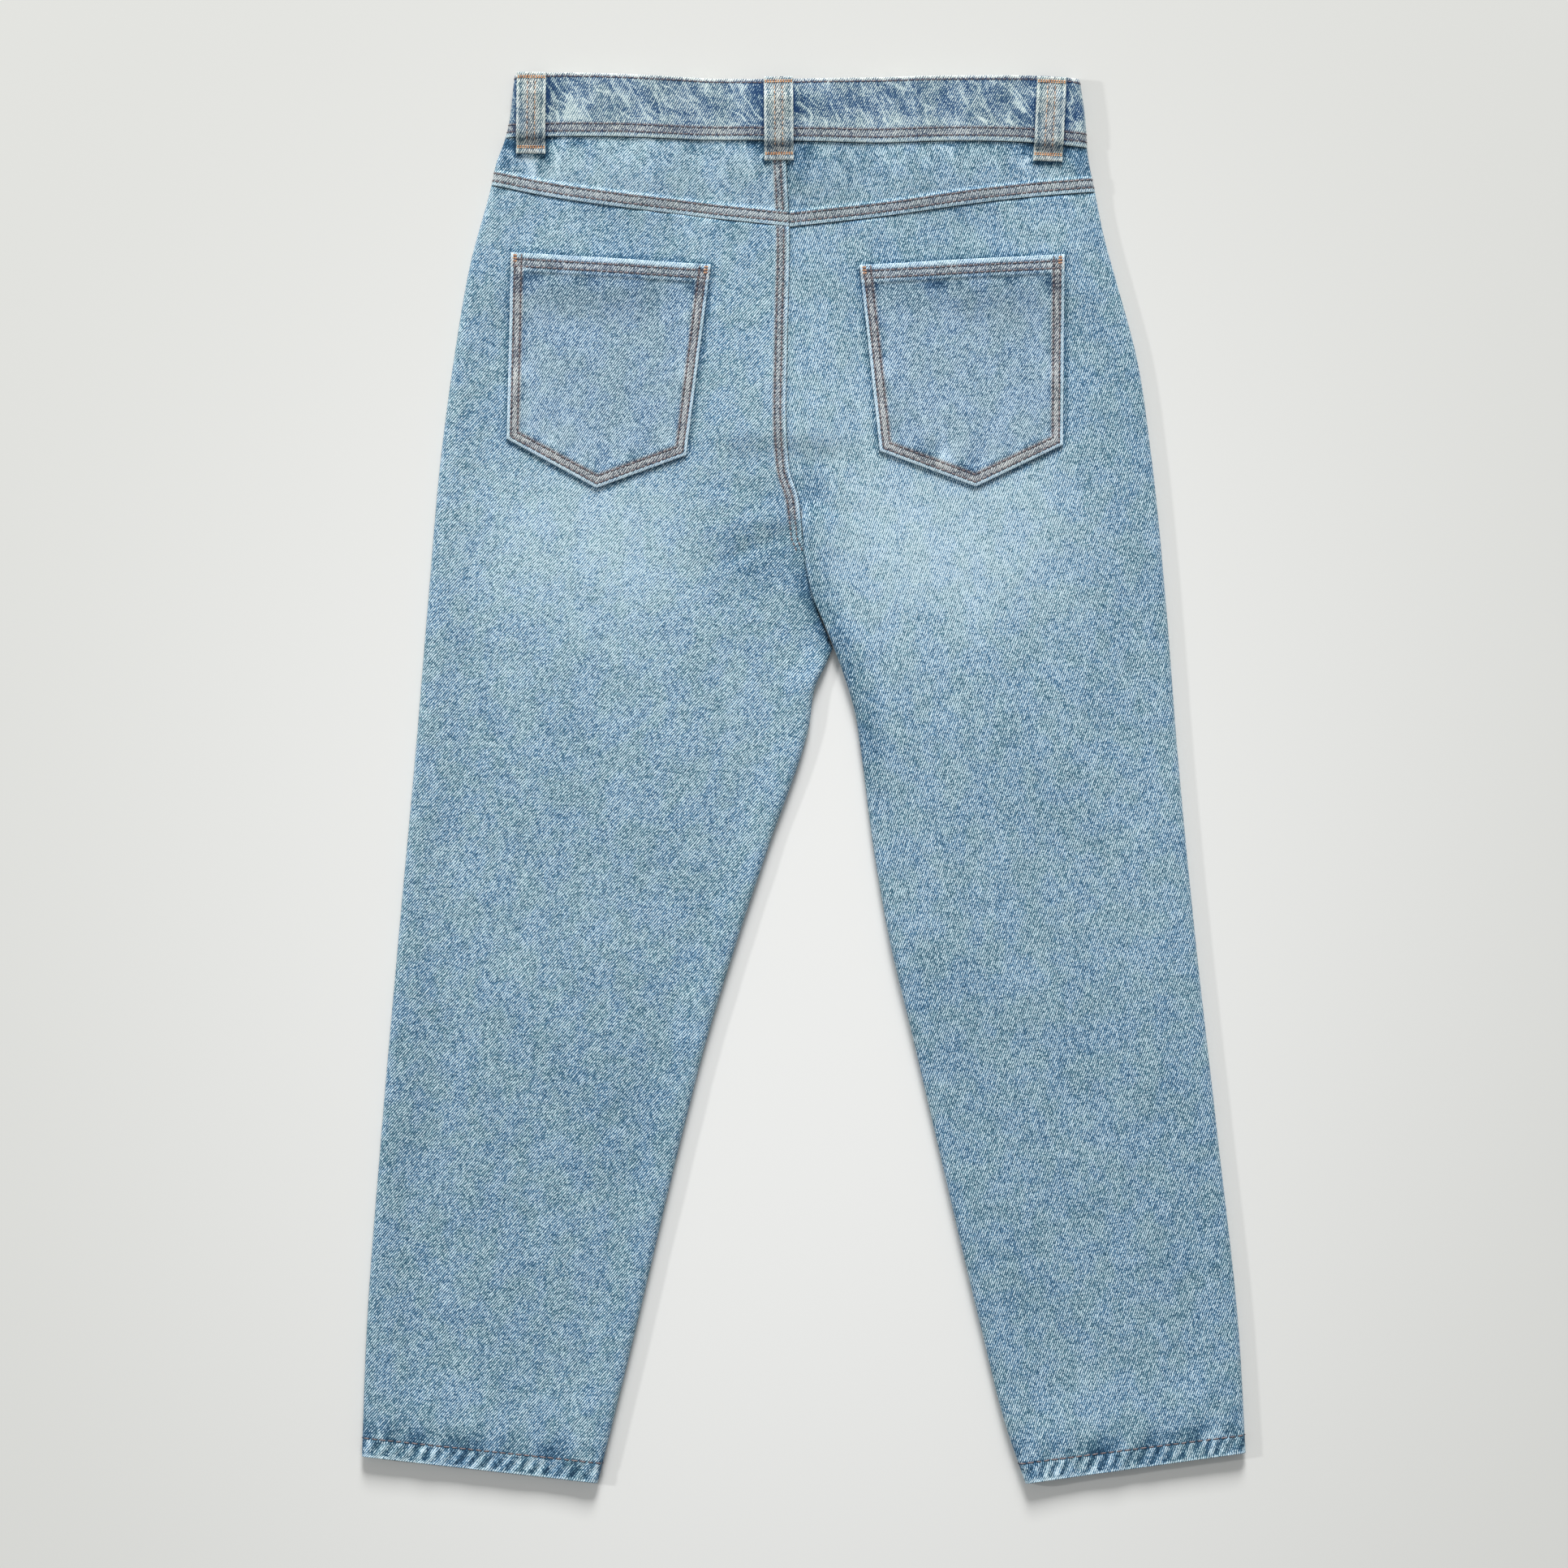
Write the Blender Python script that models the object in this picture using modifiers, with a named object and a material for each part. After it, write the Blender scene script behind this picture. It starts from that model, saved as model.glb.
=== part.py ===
"""High-waisted mom jeans laid flat with the back up.

X runs across the jeans, Y from the hems to the waist, and Z up from the surface they lie on. Left and right
are the wearer's, so left is at -X. The origin is at the middle of the bounding box, on the surface.

Two heights describe the flattened garment. front_face is the outer face of the front cloth, which faces down,
and back_face is the outer face of the back cloth, which faces up. Every piece is a grid of points on one of
the two, given its wall by a Solidify modifier that grows inwards.
"""

import math
from collections import namedtuple

import bpy
import numpy as np
from mathutils import Vector
from mathutils.bvhtree import BVHTree

MM = 0.001

# Cloth walls, and the gaps between pieces.
DENIM = 1.2 * MM
WAISTBAND_WALL = 2.4 * MM
LOOP_WALL = 1.6 * MM
SEAM_GAP = 0.3 * MM
LAY_GAP = 0.35 * MM
FACING_GAP = 0.6 * MM
FELL_RISE = 1.0 * MM
FELL_WIDTH = 8.0 * MM
FELL_SLOPE = 1.5 * MM
WAIST_STEP = 1.2 * MM

# The space left between the front and back cloth, which is under 4 mm everywhere.
MIDDLE_GAP = 1.1 * MM
EDGE_GAP = 3.6 * MM
HEM_GAP = 3.2 * MM
SWELL_REACH = 26.0 * MM
EDGE_ROUND = 4.0 * MM
EDGE_LIP = 3.0 * MM

# The right leg's fold over the left leg at the crotch.
FOLD_ROUND = 1.5 * MM
FOLD_RISE = 3.1 * MM
FOLD_REACH = 26.0 * MM
FOLD_UNDERLAP = 3.0 * MM

HEM_DEPTH = 13.0 * MM
HEM_WALL = 2.4 * MM

POCKET_HEM_RISE = 0.8 * MM
POCKET_MOUTH_RISE = 0.9 * MM

FRONT_DIP = 8.0 * MM
LAP_HALF = 17.0 * MM
LAP_RAMP = 14.0 * MM
FLY_LAP = 5.0 * MM
FLY_END_Y = 235.0 * MM
FLY_TAPER = 20.0 * MM

LOOP_WIDTH = 18.0 * MM
BUTTON_RADIUS = 8.5 * MM
BUTTON_CAP = 2.2 * MM
BUTTON_SHANK_RADIUS = 4.0 * MM
BUTTON_HEIGHT = 3.0 * MM

Place = namedtuple("Place", "y x")
Height = namedtuple("Height", "x y")
Corner = namedtuple("Corner", "x y")
Loop = namedtuple("Loop", "name top_x top_y bottom_x bottom_y")

CROTCH = Place(81.0, 18.3)

# Outlines in millimetres: the x of each edge at the heights where it bends.
LEFT_SIDE = [
    Place(434, -178.2),
    Place(394.5, -184.2),
    Place(380, -189.7),
    Place(366, -192.7),
    Place(320, -205.2),
    Place(260, -215.7),
    Place(200, -223.7),
    Place(110, -231.7),
    Place(20, -239.2),
    Place(-100, -250.2),
    Place(-220, -260.7),
    Place(-340, -269.7),
    Place(-419, -272.7),
]
RIGHT_SIDE = [
    Place(434, 169.8),
    Place(402, 174.1),
    Place(388, 174.8),
    Place(361, 179.8),
    Place(334, 185.3),
    Place(304, 193.6),
    Place(260, 205.3),
    Place(200, 214.3),
    Place(110, 223.3),
    Place(20, 230.3),
    Place(-100, 241.8),
    Place(-220, 255.3),
    Place(-340, 268.3),
    Place(-419, 272.8),
]
LEFT_INSEAM = [
    CROTCH,
    Place(68, 12.6),
    Place(60, 8.5),
    Place(30, 2.8),
    Place(-40, -21),
    Place(-100, -41.1),
    Place(-160, -59.6),
    Place(-220, -75.1),
    Place(-340, -103.7),
    Place(-435, -127.2),
]
RIGHT_INSEAM = [
    CROTCH,
    Place(62, 25.3),
    Place(42, 31.3),
    Place(20, 34.8),
    Place(-40, 42.6),
    Place(-100, 53),
    Place(-160, 67.3),
    Place(-220, 81.3),
    Place(-340, 109.6),
    Place(-400, 124.8),
    Place(-435, 136.8),
]
SEAT_SEAM = [
    Place(434, -10.7),
    Place(378, -10.7),
    Place(340, -8.9),
    Place(270, -10),
    Place(203, -9.9),
    Place(188, -8.2),
    Place(174, -3.6),
    Place(155, -1.2),
    Place(130, 1.3),
    Place(110, 6.1),
    Place(98, 11.2),
    CROTCH,
]

# Edges that cross the jeans, in millimetres: the y of each at the places where it bends.
WAIST_TOP = [
    Height(-178.7, 433.6),
    Height(-155.7, 434.8),
    Height(-116.7, 434),
    Height(-74.7, 432),
    Height(-26.7, 430.5),
    Height(50.3, 432.3),
    Height(98.3, 432.8),
    Height(162.3, 431.7),
    Height(174.3, 430.2),
]
WAIST_SEAM = [
    Height(-188.7, 394.6),
    Height(-155.7, 395.5),
    Height(-116.7, 395.2),
    Height(-74.7, 393.8),
    Height(-25.7, 392.7),
    Height(50.3, 391.9),
    Height(98.3, 392.6),
    Height(142.3, 391.6),
    Height(177.3, 388.2),
]
LEFT_YOKE_SEAM = [
    Height(-194.7, 366.2),
    Height(-158.7, 359),
    Height(-116.7, 352.7),
    Height(-74.7, 347.8),
    Height(-39.7, 343.6),
    Height(-6.7, 340.1),
]
RIGHT_YOKE_SEAM = [
    Height(-10.7, 339.8),
    Height(18.3, 343),
    Height(66.3, 349),
    Height(114.3, 355.5),
    Height(146.3, 359),
    Height(181.3, 361.6),
]

# How much higher a row starts at the side seam than it ends at the inner edge, by the inner edge's height.
LEFT_SKEW = [
    Place(340, 25.5),
    Place(280, 10),
    Place(200, 0),
    Place(0, 0),
    Place(-147, 4),
    Place(-237, 7),
    Place(-325, 10),
    Place(-384, 13.5),
    Place(-435, 16.5),
]
RIGHT_SKEW = [
    Place(340, 21),
    Place(280, 10),
    Place(200, 0),
    Place(0, 0),
    Place(-147, 4),
    Place(-237, 7),
    Place(-325, 9),
    Place(-384, 14),
    Place(-435, 19),
]

# Rows of the leg panels, as the height of each at its inner edge, in millimetres.
HIP_ROWS = [322, 302, 280, 256, 232, 208, 190]
FORK_ROWS = [175, 169, 164, 159, 154, 147, 138, 122, 106, 96, 91]
THIGH_ROWS = [87.5, 84, 80.5, 77, 73, 66, 52, 34, 12]
LEG_ROWS = [-14, -42, -72, -104, -136, -170, -204, -238, -272, -306, -340, -372, -400]

LEFT_POCKET = [
    Corner(-180.5, 324.2),
    Corner(-57.3, 316.8),
    Corner(-72.6, 199.2),
    Corner(-127.9, 179.0),
    Corner(-183.3, 209.4),
]
RIGHT_POCKET = [
    Corner(34.4, 316.6),
    Corner(160.7, 322.9),
    Corner(159.8, 205.6),
    Corner(106.2, 179.8),
    Corner(46.9, 201.8),
]

BACK_LOOPS = [
    Loop("loop_back_left", -167.7, 434.9, -168.2, 384.8),
    Loop("loop_back_centre", -15.7, 431.8, -15.2, 380.4),
    Loop("loop_back_right", 152.8, 432.0, 150.3, 380.2),
]
FRONT_LOOPS = [
    Loop("loop_front_left", -102.7, 427.6, -102.7, 377.2),
    Loop("loop_front_right", 93.3, 427.0, 93.3, 376.6),
]

DENIM_COLOUR = (0.24, 0.38, 0.52, 1.0)
POCKET_COLOUR = (0.22, 0.35, 0.49, 1.0)
LOOP_COLOUR = (0.30, 0.36, 0.42, 1.0)
BUTTON_COLOUR = (0.45, 0.38, 0.28, 1.0)


def smooth(t):
    """Rises from 0 to 1 with no slope at either end."""
    t = np.clip(t, 0.0, 1.0)
    return t * t * (3 - 2 * t)


def near(distance, reach):
    """1 where distance is 0 or less, falling to 0 at reach."""
    return 1 - smooth(np.asarray(distance, float) / reach)


def curve_through(pairs):
    """A smooth function through (place, value) pairs in millimetres, given and answered in metres.

    Each span is a cubic whose end slopes come from the neighbouring points.
    """
    place, value = (np.array(column, float) * MM for column in zip(*sorted(pairs)))
    slope = np.gradient(value, place)

    def at(p):
        p = np.asarray(p, float)
        i = np.clip(np.searchsorted(place, p) - 1, 0, len(place) - 2)
        span = place[i + 1] - place[i]
        t = np.clip((p - place[i]) / span, 0.0, 1.0)
        rise = smooth(t)
        ease_in = t * (1 - t) ** 2 * span
        ease_out = t * t * (t - 1) * span
        return value[i] * (1 - rise) + value[i + 1] * rise + slope[i] * ease_in + slope[i + 1] * ease_out

    return at


left_side = curve_through(LEFT_SIDE)
right_side = curve_through(RIGHT_SIDE)
left_inseam = curve_through(LEFT_INSEAM)
right_inseam = curve_through(RIGHT_INSEAM)
seat_seam = curve_through(SEAT_SEAM)
waist_top = curve_through(WAIST_TOP)
waist_seam = curve_through(WAIST_SEAM)
left_yoke_seam = curve_through(LEFT_YOKE_SEAM)
right_yoke_seam = curve_through(RIGHT_YOKE_SEAM)
CROTCH_Y = CROTCH.y * MM


def front_dip(x):
    """How much lower the front of the waistband sits than the back."""
    middle = 3.7 * MM
    half = 176.0 * MM
    return FRONT_DIP * np.clip(1 - ((x + middle) / half) ** 2, 0.0, 1.0)


def front_waist_seam(x):
    return waist_seam(x) - front_dip(x)


def front_waist_top(x):
    return waist_top(x) - front_dip(x)


def seat_x(y):
    """The line down the middle: the seat seam, or the gap between the legs below it."""
    between_legs = (left_inseam(y) + right_inseam(y)) / 2
    return np.where(np.asarray(y) > CROTCH_Y, seat_seam(y), between_legs)


def button_place():
    y = 404.0 * MM
    return seat_seam(y), y


def floor_lift(x, y):
    """How far the belt loops and the button under the front hold the jeans off the surface."""
    loop_room = 2.2 * MM
    loop_reach = 40.0 * MM
    lift = np.zeros(np.broadcast(x, y).shape)
    for loop in FRONT_LOOPS:
        beside = np.abs(x - loop.top_x * MM) - LOOP_WIDTH / 2 - 2 * MM
        below = loop.bottom_y * MM - y - 2 * MM
        away = np.hypot(np.maximum(beside, 0), np.maximum(below, 0))
        lift = np.maximum(lift, loop_room * near(away, loop_reach))
    button_x, button_y = button_place()
    away = np.hypot(x - button_x, y - button_y) - BUTTON_RADIUS - 2 * MM
    button_room = BUTTON_HEIGHT + SEAM_GAP
    return np.maximum(lift, button_room * near(away, 56.0 * MM))


def front_face(x, y):
    """The outer face of the front cloth, a step in from the waistband's and else flat on the surface."""
    below_waist = front_waist_seam(x) - y
    return floor_lift(x, y) + WAIST_STEP * near(below_waist - 6 * MM, 34.0 * MM)


def hem_line(x):
    """The height of the finished bottom edge of either leg."""
    left = np.interp(x, [-272.7 * MM, -127.2 * MM], [-418.5 * MM, -434.7 * MM])
    right = np.interp(x, [136.8 * MM, 272.8 * MM], [-435 * MM, -416.2 * MM])
    return np.where(x < 0, left, right)


def cloth_gap(x, y):
    """The space between the two cloths: small in the middle, swollen at the folded edges, hems and closing."""
    side = np.minimum(x - left_side(y), right_side(y) - x) - EDGE_ROUND
    inseam = np.where(x < seat_x(y), left_inseam(y) - x, x - right_inseam(y)) - EDGE_ROUND
    legs_parted = smooth((CROTCH_Y + 6 * MM - y) / (30 * MM))
    swell = 1 - (1 - near(side, SWELL_REACH)) * (1 - legs_parted * near(inseam, SWELL_REACH))
    hem = near(y - hem_line(x) - HEM_DEPTH - 4 * MM, 50.0 * MM)
    middle = MIDDLE_GAP + (HEM_GAP - MIDDLE_GAP) * hem
    gap = middle + (EDGE_GAP + 0.2 * MM * hem - middle) * swell
    closing = near(np.abs(x - seat_x(y)) - 22 * MM, 28.0 * MM)
    closing *= smooth((y - FLY_END_Y + 2 * FLY_TAPER) / FLY_TAPER)
    gap = gap + (2.3 * MM * closing) * (1 - swell)
    facing_width = 94.0 * MM
    beside = np.minimum(x - left_side(y), right_side(y) - x) - facing_width
    below = 306.0 * MM - y
    facing = near(np.hypot(np.maximum(beside, 0), np.maximum(below, 0)), 30.0 * MM)
    return gap + (1.9 * MM * facing) * (1 - closing) * (1 - swell)


def back_face(x, y):
    """The outer face of the back cloth, over the front cloth and the space between them."""
    return front_face(x, y) + 2 * DENIM + cloth_gap(x, y)


def fold_lift(x, y):
    """The rise of the right back panel towards its fold over the left leg."""
    amount = smooth((176 * MM - y) / (20 * MM)) * smooth((y - 60 * MM) / (30 * MM))
    edge = np.where(np.asarray(y) > CROTCH_Y, seat_seam(y), right_inseam(y))
    return FOLD_RISE * amount * near(x - edge - 3 * MM, FOLD_REACH)


def fell(distance):
    """The raised strip of a felled seam, from its folded edge inwards."""
    return FELL_RISE * near(distance - FELL_WIDTH, FELL_SLOPE)


def seat_strip_left(y):
    """How much of the seat seam's strip is left as it runs in under the fold."""
    return smooth((y - 150 * MM) / (18 * MM))


def curl(height, half_width, turn):
    """The edge of a panel that turns round a fold, from the top of the fold to the panel's end.

    Answers how far out each column lies from the top of the fold, and how far below it. The full turn is half an
    ellipse and then a flat lip. A smaller turn lies between that and a flat strip.
    """
    angle = np.linspace(0, math.pi, 5)
    out = np.append(half_width * np.sin(angle), -EDGE_LIP)
    down = np.append(height / 2 * (1 - np.cos(angle)), height)
    strip = FELL_WIDTH + FELL_SLOPE
    flat = strip * np.array([0, FELL_SLOPE / strip, 0.4, 0.6, 0.8, 1.0])
    return turn * out + (1 - turn) * flat, min(1.0, 1.45 * turn) * down


INNER_COLUMNS = np.array([0.0, 0.06, 0.17, 0.34, 0.5, 0.66, 0.83, 0.94, 1.0])


def panel_row(outer, inner, surface, inner_turn, inner_round, inner_floor, row_y, fell_edge):
    """The points of one row of a back panel, and how much thicker than plain cloth each is.

    outer and inner are the row's ends. surface gives the height of the cloth, row_y the row's line across the
    jeans, and inner_floor the height that the cloth comes down to at a turned inner edge.
    """
    reach = math.copysign(1.0, inner[0] - outer[0])
    width = abs(inner[0] - outer[0])

    def top(s):
        x = outer[0] + reach * s
        y = row_y(x)
        return x, y, surface(x, y)

    crest = top(EDGE_ROUND)
    out, down = curl(crest[2] - front_face(crest[0], crest[1]), EDGE_ROUND, 1.0)
    outer_s = EDGE_ROUND - out[::-1]
    outer_z = crest[2] - down[::-1]

    inner_height = 2 * DENIM + 0.3 * MM
    if inner_turn > 0:
        inner_height = max(top(width - inner_round)[2] - inner_floor, inner_height)
    out, down = curl(inner_height, inner_round, inner_turn)
    crest_s = width - out.max()
    inner_s = crest_s + out
    inner_z = inner_turn * top(crest_s)[2] - down

    middle_s = EDGE_ROUND + (crest_s - EDGE_ROUND) * INNER_COLUMNS[1:-1]
    s = np.concatenate([outer_s, middle_s, inner_s])
    x, y, z = top(s)
    z[: len(outer_s)] = outer_z
    z[-len(inner_s) :] = inner_z + (1 - inner_turn) * z[-len(inner_s) :]
    thicker = np.zeros(len(s))
    if fell_edge:
        raised = fell(width - s) * (1 - inner_turn) * seat_strip_left(inner[1])
        z += raised
        thicker += raised
    return np.stack([x, y, z], axis=1), thicker


def line_between(outer, inner):
    def at(x):
        return np.interp(x, *zip(*sorted([(outer[0], outer[1]), (inner[0], inner[1])])))

    return at


def hem_rows(side_y):
    """The last rows of a leg, by inner edge height: above the hem stitching, at it, and the finished edge."""
    edge = side_y
    return [edge + HEM_DEPTH + 1.5 * MM, edge + HEM_DEPTH - 0.5 * MM, edge]


def back_panel(name, side, material):
    """A back leg panel from the yoke seam to the hem, as rows of points from the side seam to the inner edge."""
    left = side == "left"
    outer_edge = left_side if left else right_side
    inseam = left_inseam if left else right_inseam
    skew = curve_through(LEFT_SKEW if left else RIGHT_SKEW)
    yoke_seam = left_yoke_seam if left else right_yoke_seam
    away = -1 if left else 1
    rows = [y * MM for y in HIP_ROWS + FORK_ROWS + THIGH_ROWS + LEG_ROWS]
    edge = (-434.7 if left else -435.0) * MM
    rows += hem_rows(edge)

    def surface(x, y):
        return back_face(x, y) + (0 if left else fold_lift(x, y))

    def seam_edge(y):
        if y <= CROTCH_Y:
            return inseam(y)
        if not left:
            return seat_seam(y) + SEAM_GAP / 2
        tucked = smooth((150 * MM - y) / (12 * MM)) * smooth((y - 100 * MM) / (20 * MM))
        drawn_in = smooth((122 * MM - y) / (20 * MM)) * 0.5 * MM
        return seat_seam(y) - SEAM_GAP / 2 + FOLD_UNDERLAP * tucked - drawn_in

    grid, extra = [], []

    def add_row(outer, inner, row_y):
        y = inner[1]
        if left:
            turn = float(smooth((93 * MM - y) / (20 * MM)))
            rounding = EDGE_ROUND
            floor = 0.0
        else:
            turn = float(smooth((175 * MM - y) / (22 * MM)))
            parted = float(smooth((92 * MM - y) / (24 * MM)))
            rounding = FOLD_ROUND + (EDGE_ROUND - FOLD_ROUND) * parted
            floor = float(back_face(inner[0], y) + LAY_GAP + FELL_RISE * seat_strip_left(y)) * (1 - parted)
        points, thicker = panel_row(outer, inner, surface, turn, rounding, floor, row_y, left)
        grid.append(points)
        extra.append(thicker)

    def seam_y(x):
        return yoke_seam(x) - SEAM_GAP

    top_outer_y = float(yoke_seam(outer_edge(365 * MM)) - SEAM_GAP)
    top_inner_y = float(yoke_seam(seat_seam(340 * MM)) - SEAM_GAP)
    outer = (float(outer_edge(top_outer_y)), top_outer_y)
    inner = (float(seam_edge(top_inner_y)), top_inner_y)
    add_row(outer, inner, seam_y)
    for y in rows:
        outer_y = y + float(skew(y))
        outer = (float(outer_edge(outer_y)), outer_y)
        inner = (float(seam_edge(y)), y)
        straight = line_between(outer, inner)
        bowed = float(smooth((y - 250 * MM) / (90 * MM)))

        def row_y(x, straight=straight, bowed=bowed, outer=outer, inner=inner):
            chord = line_between((outer[0], float(seam_y(outer[0]))), (inner[0], float(seam_y(inner[0]))))
            return straight(x) + bowed * (seam_y(x) - chord(x))

        add_row(outer, inner, row_y)
    grid, extra = np.array(grid), np.array(extra)
    folded = slice(5, -5)
    extra[-2:, folded] += HEM_WALL - DENIM
    return cloth(name, grid, DENIM + extra, material, flip=not left)


def yoke(name, side, material):
    """Half of the back yoke, from its lower seam to the waistband, its lower edge felled over the leg panel."""
    left = side == "left"
    outer_edge = left_side if left else right_side
    low = left_yoke_seam if left else right_yoke_seam
    away = -1 if left else 1
    outer_low = float(low(outer_edge(365 * MM)))
    outer_high = float(waist_seam(outer_edge(393 * MM))) - SEAM_GAP
    inner_low = float(low(seat_seam(340 * MM)))
    inner_high = float(waist_seam(seat_seam(392 * MM))) - SEAM_GAP
    strip = FELL_WIDTH / (inner_high - inner_low)
    slope = FELL_SLOPE / (inner_high - inner_low)
    grid, extra = [], []
    for v in [0, strip, strip + slope, 0.42, 0.7, 1]:
        outer_y = outer_low + v * (outer_high - outer_low)
        inner_y = inner_low + v * (inner_high - inner_low)
        outer = (float(outer_edge(outer_y)), outer_y)
        inner = (float(seat_seam(inner_y)) + away * SEAM_GAP / 2, inner_y)

        def row_y(x, v=v):
            return low(x) * (1 - v) + (waist_seam(x) - SEAM_GAP) * v

        points, thicker = panel_row(outer, inner, back_face, 0.0, EDGE_ROUND, 0.0, row_y, left)
        points[:3, 1] -= v * front_dip(points[:3, 0])
        raised = np.full(len(points), FELL_RISE if v <= strip else 0.0)
        raised[:5] *= [0, 0, 0.2, 0.5, 0.9]
        added = np.maximum(raised - thicker, 0)
        points[:, 2] += added
        grid.append(points)
        extra.append(thicker + added)
    return cloth(name, np.array(grid), DENIM + np.array(extra), material, flip=left)


def inner_edge_of_front(y, left):
    """The x of a leg's inner edge, and of the front panel's: its fly, centre seam, and inseam in the leg's fold."""
    away = -1 if left else 1
    under = away * (EDGE_ROUND + EDGE_LIP + SEAM_GAP)
    if y <= CROTCH_Y:
        edge = float(left_inseam(y) if left else right_inseam(y))
        return edge, edge + under
    fly = FLY_LAP * smooth((y - FLY_END_Y) / FLY_TAPER)
    notch = smooth((98 * MM - y) / (9 * MM))
    seam = float(seat_seam(y) + away * (SEAM_GAP / 2 - fly) + notch * under)
    return seam, seam


SCOOP_WIDTH = 70.0 * MM
SCOOP_DROP = 66.0 * MM


def scoop(left):
    """The curved mouth of a front pocket, from the waistband seam at 0 to the side seam at 1."""
    outer_edge = left_side if left else right_side
    away = -1 if left else 1
    start_x = float(outer_edge(390 * MM)) - away * SCOOP_WIDTH
    start_y = float(front_waist_seam(start_x)) - SEAM_GAP
    end_y = start_y - SCOOP_DROP
    end_x = float(outer_edge(end_y)) - away * (EDGE_ROUND + EDGE_LIP + SEAM_GAP)

    def at(t):
        quarter = t * math.pi / 2
        x = end_x + (start_x - end_x) * math.cos(quarter)
        y = start_y + (end_y - start_y) * math.sin(quarter)
        return x, y

    return at


def front_panel(name, side, material):
    """A front leg panel, cut away at the pocket scoop, flat on the surface and lapped at the fly."""
    left = side == "left"
    outer_edge = left_side if left else right_side
    away = -1 if left else 1
    skew = curve_through(LEFT_SKEW if left else RIGHT_SKEW)
    mouth = scoop(left)
    side_inset = EDGE_ROUND + EDGE_LIP + SEAM_GAP
    top_y = float(front_waist_seam(seat_seam(385 * MM))) - SEAM_GAP
    first_free_y = 306 * MM
    rows = []
    for t in [0, 0.1, 0.22, 0.38, 0.56, 0.77, 1.0]:
        rows.append((mouth(t), top_y + (first_free_y - top_y) * t, (1 - t) ** 2))
    hip = [280, 256, 232, 208, 174, 140, 106, 98, 89, 81, 74, 66, 52, 34, 12]
    leg = [y * MM for y in hip + LEG_ROWS] + hem_rows((-434.7 if left else -435.0) * MM)
    for y in leg:
        skewed = y + float(skew(y)) * float(near(y - 120 * MM, 60 * MM))
        rows.append(((float(outer_edge(skewed)), skewed), y, 0))
    lap_columns = np.array([24.0, 2 * FLY_LAP / MM + 1.5, 0.0]) * MM
    grid = []
    for (outer_x, outer_y), inner_y, bowed in rows:
        edge_x, inner_x = inner_edge_of_front(inner_y, left)
        start_x = outer_x
        if outer_y < mouth(1)[1]:
            start_x = outer_x - away * side_inset
        width = abs(inner_x - start_x)
        across = np.concatenate([np.linspace(0, width - lap_columns[0], 9), width - lap_columns[1:]])
        x = start_x - away * across
        y = outer_y + (inner_y - outer_y) * (x - outer_x) / (edge_x - outer_x)
        if bowed:
            seam = front_waist_seam(x) - SEAM_GAP
            chord = np.interp(x, *zip(*sorted([(x[0], seam[0]), (x[-1], seam[-1])])))
            y = y + bowed * (seam - chord)
        z = front_face(x, y)
        if not left:
            fly = smooth((inner_y - FLY_END_Y + 1.5 * FLY_TAPER) / FLY_TAPER)
            z = z + (DENIM + LAY_GAP) * fly * near(x - seat_seam(y) - FLY_LAP - 1 * MM, 12 * MM)
        grid.append(np.stack([x, y, z], axis=1))
    walls = np.full((len(grid), len(grid[0])), DENIM)
    walls[-2:] = HEM_WALL
    return cloth(name, np.array(grid), walls, material, flip=left)


def facing(name, side, material):
    """The denim that shows in a front pocket's scoop. It lies inside the front panel, edge to edge with the back."""
    left = side == "left"
    outer_edge = left_side if left else right_side
    away = -1 if left else 1
    start_x, start_y = scoop(left)(0)
    inside = 14.0 * MM
    depth = SCOOP_DROP + 16 * MM
    across = np.linspace(0, 1, 6)
    grid = []
    for v in [0, 0.2, 0.4, 0.6, 0.8, 0.93]:
        outer_y = float(front_waist_seam(outer_edge(388 * MM))) - SEAM_GAP - v * depth
        outer_x = float(outer_edge(outer_y)) - away * (EDGE_ROUND + EDGE_LIP - 2 * MM)
        full = start_x - away * inside - outer_x
        inner_x = outer_x + full * math.sqrt(1 - v * v)
        x = outer_x + (inner_x - outer_x) * across
        y = np.minimum(outer_y, front_waist_seam(x) - SEAM_GAP - v * depth)
        z = front_face(x, y) + DENIM + FACING_GAP
        grid.append(np.stack([x, y, z], axis=1))
    walls = np.full((len(grid), len(across)), DENIM)
    return cloth(name, np.array(grid), walls, material, flip=left)


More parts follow.
